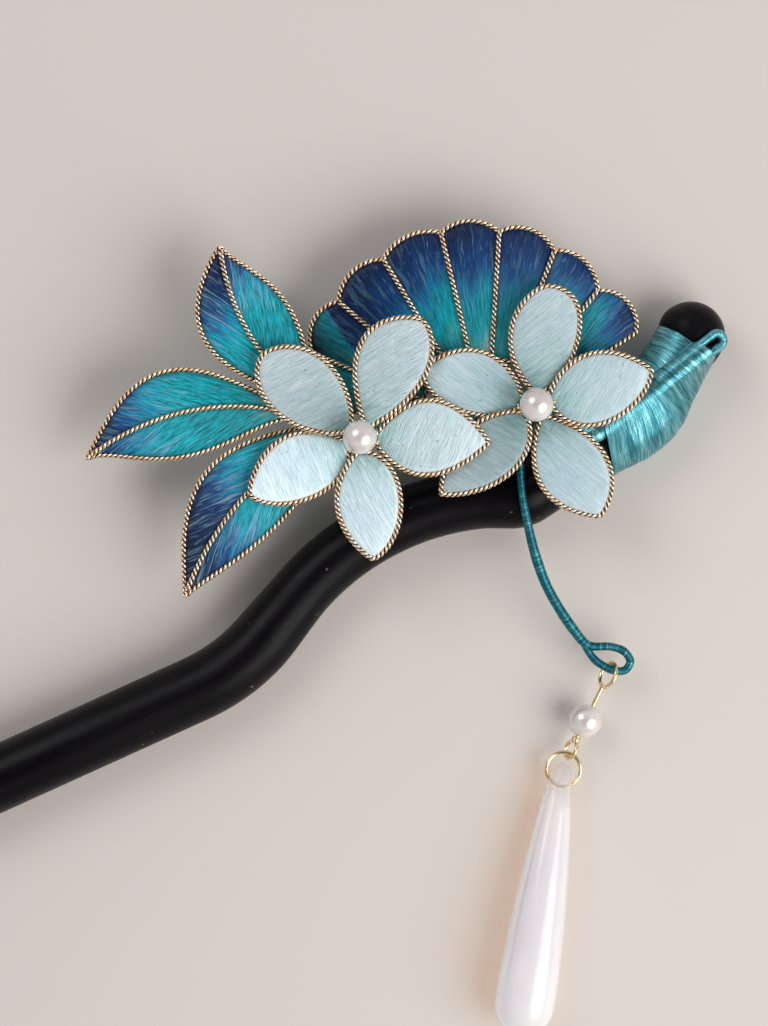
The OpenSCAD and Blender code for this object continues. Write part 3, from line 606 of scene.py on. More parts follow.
# Share of the full width along a blade: t to the power m times (1 - t) to the power n, over its peak value
def fullness(t, m, n):
    peak = m / (m + n)
    return (np.clip(t, 0, 1) / peak) ** m * ((1 - np.clip(t, 0, 1)) / (1 - peak)) ** n


# A petal's line: it starts a set way out from the hub, and as many steps above it as its lift says
def petalBlade(hub, angle, length, left, right, m, n, bow, lift, rise):
    z = hub[2] + panel["step"] * lift
    return {"foot": hub + panel["from"] * heading(angle), "angle": angle, "length": length, "bow": bow,
            "sides": ((left, m, n), (right, m, n)), "z": (z, z + rise), "arch": panel["petalArch"]}


# A leaf's line: it starts at its own foot
def leafBlade(foot, angle, length, bow, left, right, low, high):
    return {"foot": np.array([*foot, 0.0]), "angle": angle, "length": length, "bow": bow,
            "sides": (left, right), "z": (low, high), "arch": leaf["arch"]}


# Point on a blade: foot + t of its length ahead + (lateral + 4 t (1 - t) of its bow) to its left. Its height
# goes evenly from foot to tip, plus 4 t (1 - t) of its arch
def bladePoint(blade, t, lateral, up):
    t, lateral, up = np.broadcast_arrays(np.asarray(t, float), lateral, up)
    ahead, left = heading(blade["angle"]), heading(blade["angle"] + 90)
    off = lateral + blade["bow"] * 4 * t * (1 - t)
    z = blade["z"][0] + (blade["z"][1] - blade["z"][0]) * t + blade["arch"] * 4 * t * (1 - t) + up
    flat = blade["foot"] * (1, 1, 0) + (blade["length"] * t)[..., None] * ahead + off[..., None] * left
    return flat + z[..., None] * upward


# Half width of a side: the foot's narrows evenly to nothing, and the side's own fullness is added
def edgePoint(blade, which, t):
    width, m, n = blade["sides"][which]
    half = panel["foot"] * (1 - t) + width * fullness(t, m, n)
    return bladePoint(blade, t, (1 - 2 * which) * half, 0)


# How far along a side is still wider than w near its tip
def nearTip(side, w):
    width, m, n = side
    peak = m / (m + n)
    return 1 - (1 - peak) * (w * peak ** m / width) ** (1 / n)


# The edge moved inwards, square to itself
def innerPoint(blade, which, t, inset):
    e = 0.004
    v = unit(edgePoint(blade, which, np.minimum(t + e, 1)) - edgePoint(blade, which, np.maximum(t - e, 0)))
    square = unit(np.stack([v[..., 1], -v[..., 0], v[..., 0] * 0], -1))
    return edgePoint(blade, which, t) + (1 - 2 * which) * inset * square


# Even steps drawn closer together at both ends
def eased(u):
    return (1 - np.cos(math.pi * u)) / 2


# Half thickness of the silk: a fifth of the whole at the rim, and rounded up from there by a square root
def halfThick(inwards):
    return panel["half"] * (0.2 + 0.8 * np.clip(inwards, 0, 1) ** 0.5)


# A closed silk panel: rows along the blade, columns from its right edge to its left; the top swells between
# the wires and is drawn down where a midrib lies, and the underside is flat. Threads turn by the given angle
def addPanel(shape, blade, threadAngle, rib=False, rows=72, columns=40, shifts=(0, 0)):
    inset = panel["tuck"]
    u = eased(np.linspace(0, 1, rows))[:, None]
    tl, tr = (u * nearTip(side, inset + 0.12) for side in blade["sides"])
    rightEdge, leftEdge = innerPoint(blade, 1, tr, inset), innerPoint(blade, 0, tl, inset)
    mid = bladePoint(blade, (tl + tr) / 2, 0, 0) if rib else (rightEdge + leftEdge) / 2
    v = np.linspace(-1, 1, columns)[None, :]
    w = np.abs(v)
    flat = mid + np.where((v < 0)[..., None], rightEdge - mid, leftEdge - mid) * w[..., None]
    full = np.sin(math.pi * np.linspace(0, 1, rows))[:, None] ** 0.6
    crown = 4 * w * (1 - w) if rib else 1 - w ** 2
    crown = np.sqrt(np.clip(crown, 0, 1)) * 0.5 + crown * 0.5
    thick = halfThick((1 - w) * 8)
    top = flat + (thick + panel["swell"] * crown * full)[..., None] * upward
    under = flat - thick[..., None] * upward
    ahead, aside = heading(blade["angle"]), heading(blade["angle"] + 90)
    s, l = (flat - blade["foot"]) @ ahead, (flat - blade["foot"]) @ aside
    turn = math.radians(threadAngle) * (np.sign(l - (mid - blade["foot"]) @ aside) if rib else 1)
    threads = l * np.cos(turn) - s * np.sin(turn), s * np.cos(turn) + l * np.sin(turn)
    addPad(shape, top, under, threads, (s / blade["length"] + np.where(v > 0, *shifts), v))


# The edge wire's path: up the left side, round the tip and down the right side, softened at the turn
def edgePath(blade):
    steps = eased(np.linspace(0, 1, 400))
    ends = [nearTip(side, panel["wire"] + 0.1) for side in blade["sides"]]
    up, down = edgePoint(blade, 0, steps * ends[0]), edgePoint(blade, 1, steps[::-1] * ends[1])
    return softened(evenPath(np.vstack([up, bladePoint(blade, 1.0, 0, 0)[None], down]), 0.05), 9)


for side, flower in flowers.items():
    for number, row in enumerate(flower["petals"], 1):
        name, blade = f"{side}Petal{number}", petalBlade(flower["hub"], *row[:9])
        # the petal's last column is its painted shading, brighter or darker for how the light falls on it
        threadAngle, paintedShading = row[9:]
        silk, edge = newShape(), newShape()
        addPanel(silk, blade, threadAngle)
        makePiece(name + "Silk", silk, materials["petalSilk" + side.capitalize()],
                  f"{side}_petal_{number}", paintedShading)
        addRope(edge, edgePath(blade))
        makePiece(name + "Wire", edge, materials["copperGold"], f"{side}_petal_wire_{number}")

for number, row in enumerate(leaves, 1):
    blade = leafBlade(*row[:8])
    hubAngle, shifts = row[8:]
    silk, wires = newShape(), newShape()
    addPanel(silk, blade, leaf["threadAngle"], True, rows=96, columns=49, shifts=shifts)
    makePiece(f"leaf{number}Silk", silk, materials["leafSilk"], f"leaf_{number}", 1.0)
    addRope(wires, edgePath(blade))
    addRope(wires, bladePoint(blade, np.linspace(leaf["ribFrom"], leaf["ribTo"], 200), 0, leaf["rib"]))
    foot = bladePoint(blade, 0.0, 0, 0)
    toHub = np.array([*flowers["left"]["hub"][:2], foot[2]]) + leaf["stalkEnd"] * heading(hubAngle) - foot
    if np.linalg.norm(toHub) > 2:
        addRope(wires, foot + np.linspace(-0.1, 1, 60)[:, None] * toHub)
    makePiece(f"leaf{number}Wire", wires, materials["copperGold"], f"leaf_wire_{number}")
print("petals and leaves made")

# The fan, in mm. Columns of a fold: angle of the rib at its left, radius at that rib, radius of its edge, and
# how far its colours are moved towards the inner edge, in its left half and in its right half
fan = {
    "centre": (15.6, 12.6), "inner": 10.8, "z": 10.3, "drop": 0.8, "reach": 29.7, "root": 6.8, "rib": 0.7,
    "tuck": 8.0, "tuckLength": 6.2, "colours": 20.2, "paleFold": 4,
    "creasedFold": 1, "creaseSlope": 0.056, "creaseAt": 25.2, "shade": 0.65,
    "folds": np.array([
        [172.5, 27.3, 29.4, -0.32, -0.32], [156.2, 28.8, 31.1, -0.55, 0.08], [139.2, 29.6, 31.5, 0.08, 0.0],
        [121.4, 30.1, 31.75, 0, -0.1], [103.2, 30.5, 31.8, 0, -0.06], [86.5, 29.9, 31.1, -0.02, -0.08],
        [69.4, 28.8, 29.6, -0.14, -0.14], [51.5, 26.8, 28.8, -0.24, -0.02], [33, 26.7, 26.7, 0, 0]]),
}
foldCount = len(fan["folds"]) - 1


# Point on the fan: its centre + r along the angle, dropping evenly from the inner edge outwards
def fanPoint(a, r, up):
    a, r, up = np.broadcast_arrays(np.radians(a), r, up)
    out = (r - fan["inner"]) / (fan["reach"] - fan["inner"])
    x, y = fan["centre"]
    return np.stack([x + r * np.cos(a), y + r * np.sin(a), fan["z"] - fan["drop"] * out + up], -1)


# Fold, share across it and edge radius at q folds from the left: the edge swells by a power of a sine
def fanEdge(q):
    f = fan["folds"]
    i = np.minimum(q.astype(int), foldCount - 1)
    g = q - i
    atRib = f[i, 1] * (1 - g) + f[i + 1, 1] * g
    swell = (f[i, 2] - (f[i, 1] + f[i + 1, 1]) / 2) * np.clip(np.sin(math.pi * g), 0, 1) ** 0.7
    return i, g, atRib + swell


# Angle there at radius r: even from rib to rib; the first fold's outer side is tucked in near the inner edge
def fanAngle(i, g, r):
    f = fan["folds"]
    near = np.clip(1 - (r - fan["inner"]) / fan["tuckLength"], 0, None)
    tucked = np.where(np.equal(i, 0), fan["tuck"] * near, 0)
    return (f[i, 0] - tucked) * (1 - g) + f[np.add(i, 1), 0] * g


# The pleated silk: rows across the folds, columns outwards; each fold swells by a power of a sine both ways.
# Returns its painted shading at each point: painted shade darkens the left of the creased fold, away from its
# crease, where that side faces away from the light
def addFan(shape, perFold=22, bands=48):
    q = np.linspace(0, foldCount, foldCount * perFold + 1)[:, None]
    i, g, edge = fanEdge(q)
    k = np.linspace(0, 1, bands)[None, :]
    inset = panel["tuck"]
    r = fan["inner"] + inset + (edge - inset - 0.05 - fan["inner"] - inset) * k
    side = np.where(q == 0, -1, np.where(q == foldCount, 1, 0))
    a = fanAngle(i, g, r) + side * np.degrees(np.arcsin(inset / r))
    pleat = np.clip(np.sin(math.pi * g), 0, 1) ** 0.6 * np.sin(math.pi * k) ** 0.4
    thick = halfThick(np.sin(math.pi * k) * 6)
    top, under = fanPoint(a, r, thick + panel["swell"] * pleat), fanPoint(a, r, -thick)
    lean = (g - 0.5) * 2
    # painted shade: the creased fold's left side is darkened, more so away from the crease, as if it faced
    # away from the light
    creased = np.equal(i, fan["creasedFold"])
    beyond = g - 0.5 - np.where(creased, fan["creaseSlope"] * (r - fan["creaseAt"]), 0)
    rightward = np.clip(beyond * np.where(creased, 14, 5) + 0.5, 0, 1)
    tones = 1 - np.where(creased, fan["shade"] * (0.3 - 2 * np.minimum(beyond, 0)) * (1 - rightward), 0)
    shift = fan["folds"][i, 3] * (1 - rightward) + fan["folds"][i, 4] * rightward
    palest = np.where(np.equal(i, fan["paleFold"]), 0, 0.17)
    along = np.maximum((r - fan["inner"]) / fan["colours"] + shift, palest)
    addPad(shape, top, under, (np.radians(a) * 20, r), (along, lean), True, lean * 0.4)
    return np.tile(tones.ravel(), 2)


silk, wires = newShape(), newShape()
foldPaintedShade = addFan(silk)
makePiece("fanSilk", silk, materials["fanSilk"], "fan", foldPaintedShade)

firstAngle, firstRadius = fan["folds"][0, :2]
lastAngle, lastRadius = fan["folds"][-1, :2]
inner, overlap = fan["inner"], 0.4
outward = np.linspace(inner, firstRadius, 300)
fold, share, radii = fanEdge(np.linspace(0, foldCount, 1400))
around = np.vstack([
    fanPoint(fanAngle(0, 0.0, outward), outward, 0),
    fanPoint(fanAngle(fold, share, radii), radii, 0),
    fanPoint(lastAngle, np.linspace(lastRadius, inner + overlap, 250), 0)])
addRope(wires, softened(evenPath(around, 0.05), 9))
addRope(wires, fanPoint(np.linspace(firstAngle - fan["tuck"], lastAngle, 300), inner, 0))
addRope(wires, fanPoint(fan["folds"][1, 0], np.linspace(fan["root"], inner + overlap, 40), 0))
for angle, radius in fan["folds"][1:-1, :2]:
    addRope(wires, fanPoint(angle, np.linspace(inner, radius, 120), fan["rib"]))
makePiece("fanWire", wires, materials["copperGold"], "fan_wire")
print("fan made")

# The stick's line, in mm: straight length, bend radius and bend angle of each run, and the wood's radii
stick = {
    "runs": [(30, 0, 0), (51, 29.5, 26.4), (7.3, 41.8, -47.6), (2.7, 5.6, 31), (19.9, 9, 26), (10.85, 0, 0)],
    "full": 5.0, "slack": 4.6, "point": 2.4, "head": 5.25, "axis": 5.02, "shoulder": 11.8, "neck": 4.57,
    "cut": 1.65, "slant": math.tan(math.radians(6)), "pitch": math.tan(math.radians(8)), "taper": 30,
    "neckEnd": 3.2,
}


# Each run is a straight and an arc: start distance, x, y, heading and curvature of every piece of the line
def stickPieces():
    pieces, s, x, y, a = [], 0.0, 0.0, 0.0, 0.0
    for straight, radius, bend in stick["runs"]:
        pieces.append((s, x, y, a, 0.0))
        s, x, y = s + straight, x + straight * math.cos(a), y + straight * math.sin(a)
        if radius:
            b = a + math.radians(bend)
            k = math.copysign(1 / radius, bend)
            pieces.append((s, x, y, a, k))
            s, x = s + (b - a) / k, x + (math.sin(b) - math.sin(a)) / k
            y, a = y - (math.cos(b) - math.cos(a)) / k, b
    return np.array(pieces), s


linePieces, stickLength = stickPieces()
kneeStart = linePieces[7, 0]


# Place and heading at a distance: along a straight, or round an arc by distance times curvature
def stickPose(s):
    s = np.asarray(s, float)
    i = np.clip(np.searchsorted(linePieces[:, 0], s, side="right") - 1, 0, len(linePieces) - 1)
    start, x, y, a, k = (linePieces[i, c] for c in range(5))
    d = s - start
    b = a + k * d
    safe = np.where(k == 0, 1, k)
    px = np.where(k == 0, x + d * np.cos(a), x + (np.sin(b) - np.sin(a)) / safe)
    py = np.where(k == 0, y + d * np.sin(a), y - (np.cos(b) - np.cos(a)) / safe)
    return px, py, b


# Points beside and above the line: the place there + along the heading + across to its left, at a height
def besideLine(s, along, across, z):
    x, y, b = stickPose(s)
    return np.stack(np.broadcast_arrays(
        x + along * np.cos(b) - across * np.sin(b), y + along * np.sin(b) + across * np.cos(b), z), -1)


# Radius of the wood: even tapers between the runs' ends, then a step down to the neck under the silk
def woodRadius(s):
    full, slack, shoulder = stick["full"], stick["slack"], kneeStart + stick["shoulder"]
    at = [0, stick["taper"], *linePieces[3:7, 0], kneeStart]
    plain = np.interp(s, at, [stick["point"], full, full, slack, slack, full, full])
    step = np.clip((s - shoulder) / 0.9, 0, 1)
    return plain * (1 - step) + stick["neck"] * step


# The turned wood: circles square to the line; past the neck they follow the ball, sheared to the silk's edge
def addStick(shape, sides=72):
    body = np.arange(0, stickLength - stick["neckEnd"], 0.35)
    point = np.linspace(0.06, 1, 12)[:-1] * math.pi / 2
    cut, head, neck = -stick["cut"], stick["head"], stick["neck"]
    turn = np.linspace(math.asin(cut / head) + 0.05, math.pi / 2 - 0.03, 34)
    ball = stickLength + np.concatenate([[cut - 0.6, cut - 0.05, cut], head * np.sin(turn)])
    s = np.concatenate([-stick["point"] * np.cos(point), body, ball])[:, None]
    smooth = softened(woodRadius(body)[:, None], 15)[:, 0]
    collar = [neck, neck + 0.05, math.sqrt(head ** 2 - cut ** 2) - 0.12]
    r = np.concatenate([stick["point"] * np.sin(point), smooth, collar, head * np.cos(turn)])[:, None]
    past = s - stickLength + stick["neckEnd"]
    rise = np.clip(past / 1.6, 0, 1) * (head - stick["full"])
    lean = np.clip(past / 1.2, 0, 1) * np.clip((stickLength + 2.5 - s) / 3.0, 0, 1)
    a = roundAngles(sides)
    across, up = r * np.cos(a), r * np.sin(a)
    shear = lean * (across * stick["slant"] + up * stick["pitch"])
    grid = besideLine(s, shear, across, stick["axis"] + rise + up)
    around = np.linspace(0, 31.4, sides + 1)
    addSkin(shape, grid, (s, around), None, False, True, True)
    addCaps(shape, (grid[0].mean(0), grid[-1].mean(0)), len(s), s[-1, 0], around, True)


# Dark wood, waxed: pores drawn out along the grain, a few pale flecks, and a soft uneven polish
wood = {"dark": (4, 3, 6), "light": (14, 11, 15), "rough": 0.34, "gloss": 0.12, "fleck": (96, 90, 94)}


# Noise on the thread map, stretched along the piece
def addGrain(tree, stretch, **look):
    spot = addNode(tree, "UVMap", uv_map="threads")
    grain = addNode(tree, "Mapping", Scale=stretch)
    noise = addNode(tree, "TexNoise", Scale=1.0, **look)
    tree.links.new(spot.outputs[0], grain.inputs[0])
    tree.links.new(grain.outputs[0], noise.inputs["Vector"])
    return noise.outputs[0]


# The figure picks the colour, the pores' grey is multiplied into it, and the two add up to the relief
def makeWood(name):
    material, tree, shader = newMaterial(name)
    figure = addGrain(tree, (0.09, 1.1, 1.0), Detail=5.0, Roughness=0.6, Distortion=0.6)
    pores = addGrain(tree, (0.9, 7.0, 1.0), Detail=2.0)
    colour = paintRamp(tree, figure, [(0.35, wood["dark"]), (0.7, wood["light"])])
    colour = mixColour(tree, 1.0, colour, greyRamp(tree, pores, [(0.34, 0.45), (0.44, 1)]), "MULTIPLY")
    fleck = standing(tree, addCloud(tree, 900.0, 1.0), 0.76, 14.0)
    tree.links.new(mixColour(tree, fleck, colour, paint(*wood["fleck"])), shader.inputs["Base Color"])
    addRoughness(tree, shader, addCloud(tree, 60.0, 3.0), wood["rough"] + 0.1, wood["rough"] - 0.08)
    setAll(shader, {"Specular IOR Level": wood["gloss"]})
    addBump(tree, mathNode(tree, "ADD", pores, figure), 0.00004, 0.35, shader)
    return material


turned = newShape()
addStick(turned)
makePiece("stickWood", turned, makeWood("ebony"), "stick", toFrame=stickToRow)
print("stick made")

# Silk wound over the neck and stem, in mm
winding = {
    "from": 13.9, "end": 1.75, "lower": 20.0, "upper": 6.0, "pitch": 8.0, "gap": 0.14, "thick": 0.3,
    "lip": 0.43, "bulge": 0.85, "turn": 0.3, "ridge": 0.04, "bunch": 0.08, "creaseLeft": 0.95,
    "creaseRight": 0.0, "crest": 0.3, "flank": 0.1, "stemRoom": 0.1, "about": 19.2,
}
stem = {"halfW": 1.5, "halfH": 1.0, "z": 11.14, "foot": np.array([33, 12.75]), "end": np.array([49.3, 25.33])}
rng = np.random.default_rng(11)


# How far the stem's straight line lies to the left of the wood's line, at a distance along it
def stemOff(s):
    x, y, b = stickPose(s)
    here = np.stack([x, y], -1)
    p, q = toStick(stem["foot"]) - here, toStick(stem["end"]) - here
    ahead, left = np.stack([np.cos(b), np.sin(b)], -1), np.stack([-np.sin(b), np.cos(b)], -1)
    f = (p * ahead).sum(-1) / ((p - q) * ahead).sum(-1)
    return ((p + (q - p) * f[..., None]) * left).sum(-1)


# The same closed outlines with their points spaced evenly round them
def evenRings(px, py, sides):
    px, py = np.hstack([px, px[:, :1]]), np.hstack([py, py[:, :1]])
    s = np.cumsum(np.hypot(np.diff(px, axis=1), np.diff(py, axis=1)), axis=1)
    s = np.hstack([s[:, :1] * 0, s])
    at = np.linspace(0, 1, sides, endpoint=False)
    rows = [[np.interp(at * run[-1], run, line) for line in (x, y)] for run, x, y in zip(s, px, py)]
    return np.array(rows)[:, 0], np.array(rows)[:, 1]


# Rings of the winding at shares f along it: the hull of the wood's circle and the stem's ellipse, drawn in
# beside the stem towards the two shapes' own outline, slanted in plan and leaning forward over the top; out
# is 1 on the outside and 0 on the inside
def windingRings(f, sides, out, relief=0):
    f = f[:, None]
    lower, upper, pitch = (math.radians(winding[label]) for label in ("lower", "upper", "pitch"))
    length = linePieces[-1, 0] - kneeStart + stick["runs"][-1][0] - winding["end"] - winding["from"]
    d = kneeStart + winding["from"] + length * f
    slant = math.tan(lower) * (1 - f) + math.tan(upper) * f
    pitch = math.tan(pitch) / math.cos(upper) * f
    up = stem["z"] - stick["axis"]
    off = stemOff(d + stemOff(d) * slant + up * pitch)
    g = winding["gap"] + out * winding["thick"]
    thick = out * (winding["lip"] * (1 - f) + winding["bulge"] * fullness(f, 2.4, 4.3))
    a = roundAngles(240)
    c, s = np.cos(a), np.sin(a)
    r = stick["neck"] + g + thick * (1 + np.minimum(s, 0))
    grown = out * np.clip(1.5 * f, 0, 1)
    w = stem["halfW"] + g + winding["stemRoom"] - grown * winding["flank"]
    h = stem["halfH"] + g + grown * winding["crest"]
    q = np.sqrt((w * c) ** 2 + (h * s) ** 2)
    onStem = off * c + up * s + q > r
    px, py = np.where(onStem, off + w * w * c / q, r * c), np.where(onStem, up + h * h * s / q, r * s)
    px, py = evenRings(px, py, sides)
    # beside the stem, both shapes' own reach in each direction, joined by a high power
    reach = np.hypot(px, py)
    c, s = px / reach, py / reach
    square, cross = (c / w) ** 2 + (s / h) ** 2, c * off / w ** 2 + s * up / h ** 2
    under = cross ** 2 - square * ((off / w) ** 2 + (up / h) ** 2 - 1)
    stemReach = np.where(under > 0, (cross + np.sqrt(np.maximum(under, 0))) / square, 0)
    woodReach = stick["neck"] + g + thick * (1 + np.minimum(s, 0))
    joined = (woodReach ** 24 + stemReach ** 24) ** (1 / 24)
    leftward = np.clip((px - off) / 1.6 + 0.5, 0, 1)
    share = winding["creaseRight"] + (winding["creaseLeft"] - winding["creaseRight"]) * leftward
    share = share * np.clip(0.3 + 1.4 * f, 0, 1)
    reach = reach + (np.minimum(joined, reach) - reach) * share + relief * np.clip(1 + s * 1.4, 0, 1)
    px, py = reach * c, reach * s
    return besideLine(d + px * slant + py * pitch, 0, px, stick["axis"] + py), d[:, 0]


# Relief of the silk: a rounded ridge for each turn, turns that wander a little, and bunches that stand proud
def addWinding(shape, rows=400, sides=170):
    f = np.linspace(0, 1, rows)
    at, a = f[:, None], roundAngles(sides)
    turns = at * winding["about"] / winding["turn"]
    wobble = 0.6 * np.sin(a * 2 + at * 9) + 0.5 * np.sin(a * 3 - at * 21)
    ridge = np.abs(np.sin(math.pi * (turns + wobble)))
    bunch = np.interp(turns + wobble * 1.5, np.arange(80), rng.normal(0, 1, 80))
    fade = np.clip(np.minimum(at, 1 - at) * 40, 0, 1)
    relief = (winding["ridge"] * (ridge - 0.6) + winding["bunch"] * bunch * 0.5) * fade
    outer, run = windingRings(f, sides, 1, relief)
    inside, _ = windingRings(np.linspace(1, 0, 24), sides, 0)
    runs = np.concatenate([run, np.linspace(run[-1], run[0], 25)])
    around = np.linspace(0, 32, sides + 1)
    addSkin(shape, np.vstack([outer, inside]), (runs[:, None], around), None, True, True, True)


wound = newShape()
addWinding(wound)
makePiece("neckWinding", wound, materials["neckSilk"], "silk_winding", toFrame=stickToRow)


# Silk-wrapped wire: a tube whose radius, the route's fourth column, swells and dips with each turn of thread
def addWrapped(shape, route, turn, sides, flat=1.0, unevenness=0.03):
    even = evenPath(route, turn / 4)
    path, radius = even[:, :3], even[:, 3]
    s = lengthAlong(path)
    knots = np.arange(0, s[-1] + 1, 0.7)
    lumps = np.interp(s, knots, rng.normal(0, 0.6, len(knots)))
    waves = 0.035 * np.abs(np.sin(math.pi * s / turn)) + unevenness * lumps
    addTube(shape, path, radius + waves, sides, flat=flat)


# The stem ends inside the winding, and the end loop's two strands run back beside it there
stemRoute = np.array([
    [-3.6, 11.3, 11.5], [3, 12.9, 11.4], [10, 13.9, 11.3], [16.5, 15.2, 11.2], [22.8, 15.9, 11.14],
    [28, 13.4, 11.14], [31, 12.5, 11.14], [33, 12.75, 11.14], [47.4, 23.86, 11.14]])
endLoop = {"length": 2.4, "half": 1.05, "wire": 0.64, "back": -3.4, "clear": 0.85}
hubs = {"neck": 0.5, "shoulder": 1.7, "radius": 1.95, "ridge": 0.04, "turn": 0.3, "above": 1.6}


# The end loop's path, as the part has it: it bends down from the stem until its tip lies on the ball
def loopPoint(l, w):
    go = unit(stem["end"] - stem["foot"])
    p = stem["end"] + l[..., None] * go + w[..., None] * np.array([-go[1], go[0]])
    x, y, _ = stickPose(stickLength)
    away = toStick(p) - np.array([x, y])
    headZ = stick["axis"] + stick["head"] - stick["full"]
    onBall = headZ + np.sqrt(np.maximum((stick["head"] + endLoop["clear"]) ** 2 - (away ** 2).sum(-1), 0))
    f = np.clip(l / 1.2, 0, 1)
    return np.concatenate([p, (stem["z"] * (1 - f) + np.minimum(onBall, stem["z"]) * f)[..., None]], -1)


# The loop's route with its radius: a strand, half a turn round the bow, and the strand back
def loopRoute(count=24):
    half = endLoop["half"]
    bowAt, bend = endLoop["length"] - half, np.radians(np.linspace(-90, 90, 25))
    strand = np.linspace(endLoop["back"], bowAt - 0.1, count)
    l = np.concatenate([strand, bowAt + half * np.cos(bend), strand[::-1]])
    w = np.concatenate([np.full(count, -half), half * np.sin(bend), np.full(count, half)])
    return np.hstack([loopPoint(l, w), np.full((len(l), 1), endLoop["wire"])])


wrapped = newShape()
route = curveThrough(np.hstack([stemRoute, np.full((len(stemRoute), 1), stem["halfW"])]))
addWrapped(wrapped, route, 0.3, 28, flat=stem["halfH"] / stem["halfW"])
addWrapped(wrapped, loopRoute(), 0.28, 20, unevenness=0.015)
for flower in flowers.values():
    low, top = flower["low"], flower["hub"][2] + hubs["above"]
    h = np.linspace(low, top, 60)
    bulge = hubs["radius"] + hubs["ridge"] * np.abs(np.sin(math.pi * h / hubs["turn"]))
    profile = np.vstack([[[hubs["neck"], low], [hubs["shoulder"], low]], np.stack([bulge, h], 1),
                         [[hubs["shoulder"], top + 0.1], [hubs["neck"], top + 0.12]]])
    addTurned(wrapped, profile, flower["hub"] * (1, 1, 0), upward, 40)
makePiece("stemWrapped", wrapped, materials["stemSilk"], "stem")

# The hanger's route, with its radius at each point
hangerRoute = [
    [22.2, 13.9, 10.8, 0.6], [20.9, 10.3, 10.8, 0.6], [20.6, 6.5, 10.8, 0.6], [21, 2, 10.7, 0.6],
    [21.9, -2.3, 10, 0.65], [23, -6.5, 8.8, 0.75], [24.6, -10.8, 7.5, 0.75], [26.6, -14.4, 6.3, 0.75],
    [29, -17.9, 5.3, 0.75], [31.2, -20.2, 4.8, 0.65], [34.5, -20.4, 4.6, 0.6], [36.6, -21.1, 4.6, 0.6],
    [37.6, -22.6, 4.6, 0.6], [36.8, -24, 4.6, 0.6], [34.9, -24, 4.6, 0.6], [32.8, -22.9, 4.6, 0.6],
    [31.6, -21.7, 4.75, 0.56], [30.5, -20, 4.95, 0.5],
]
hanger = newShape()
addWrapped(hanger, curveThrough(hangerRoute), 0.28, 20, unevenness=0.02)
makePiece("hangerWrapped", hanger, materials["hangerSilk"], "hanger")
print("winding, stem and hanger made")

# Pearls, in mm, and their lustre
pearls = {
    "flower": 2.55, "drop": 2.6, "bore": 0.42, "thread": 0.2, "low": (222, 214, 211), "high": (242, 236, 233),
}
pearlLook = {
    "Metallic": 0.4, "Subsurface Weight": 0.2, "Subsurface Radius": (1.0, 0.8, 0.75),
    "Subsurface Scale": 0.0008, "Coat Weight": 1.0, "Coat Roughness": 0.14,
}


# A pearl: the profile runs over the ball from hole to hole and back through the bore, with softened lips
def addPearl(shape, at, axis, radius):
    bore = pearls["bore"]
    start = math.asin(bore / radius)
    a = np.linspace(start, math.pi - start, 64)
    ball = np.stack([radius * np.sin(a), -radius * np.cos(a)], 1)
    lip = math.sqrt(radius ** 2 - bore ** 2) - 0.15
    inside = np.stack([np.full(8, bore * 0.9), np.linspace(lip, -lip, 8)], 1)
    addTurned(shape, np.vstack([ball, inside]), at, axis, 72, closed=True, normal=(0, 0.3, 1))


# A cloudy base colour between two tones, with a roughness that goes with it
def addMilky(tree, shader, scale, detail, low, high, rough):
    cloud = addCloud(tree, scale, detail)
    tree.links.new(paintRamp(tree, cloud, [(0.3, low), (0.7, high)]), shader.inputs["Base Color"])
    addRoughness(tree, shader, cloud, *rough)


# Milky nacre under a clear coat
def makePearl(name):
    material, tree, shader = newMaterial(name)
    addMilky(tree, shader, 260.0, 2.0, pearls["low"], pearls["high"], (0.3, 0.24))
    setAll(shader, pearlLook)
    return material


# The wire through a flower's pearl: half a turn under it and straight back through its bore
def threadPath(middle, turn):
    reach = pearls["flower"] + 1.5 * pearls["thread"]
    a = np.radians(np.linspace(0, -180, 60))
    through = np.linspace(-reach, reach, 30)[1:-1]
    ahead = np.concatenate([reach * np.cos(a), through])[:, None]
    up = np.concatenate([reach * np.sin(a), through * 0])[:, None]
    loop = middle + ahead * heading(turn) + up * upward
    return evenPath(np.vstack([loop, loop[:1]]), 0.15)[:-1]


materials["pearl"] = makePearl("pearl")
for side, flower in flowers.items():
    middle = flower["hub"] + (hubs["above"] + 3 * pearls["thread"] + pearls["flower"]) * upward
    bead, wire = newShape(), newShape()
    addPearl(bead, middle, heading(flower["turn"]), pearls["flower"])
    makePiece(side + "FlowerPearl", bead, materials["pearl"], side + "_pearl")
    normal = heading(flower["turn"] + 90)
    addTube(wire, threadPath(middle, flower["turn"]), pearls["thread"], 12, normal=normal, joined=True)
    makePiece(side + "PearlWire", wire, materials["paleGold"], side + "_pearl_wire")

# The drop, in mm: a pin with a loop at each end through a pearl, an open ring and a long stone
drop = {
    "top": np.array([34.25, -24.75, 4.6]), "turn": 243.8, "fall": 6.5, "pin": 0.32, "upper": 1.93,
    "lower": 1.4, "tilt": 60.0, "pearlAt": 7.9, "length": 12.85,
    "coil": 0.5, "coilWire": 0.19, "coilTurns": 2.2, "coilFrom": 0.62, "coilPitch": 0.095,
    "ringAt": np.array([27.49, -39.29, 3.1]), "ring": 2.61, "ringWire": 0.29, "split": -69.0, "gap": 7.0,
}


# The pin's own lines: x down the pin, tipped by its fall and turned in plan
def fromPin(p):
    x, y, z = np.moveaxis(np.asarray(p, float), -1, 0)
    f, t = math.radians(drop["fall"]), math.radians(drop["turn"])
    x, z = x * math.cos(f) + z * math.sin(f), z * math.cos(f) - x * math.sin(f)
    x, y = x * math.cos(t) - y * math.sin(t), x * math.sin(t) + y * math.cos(t)
    return np.stack([x, y, z], -1) + drop["top"]


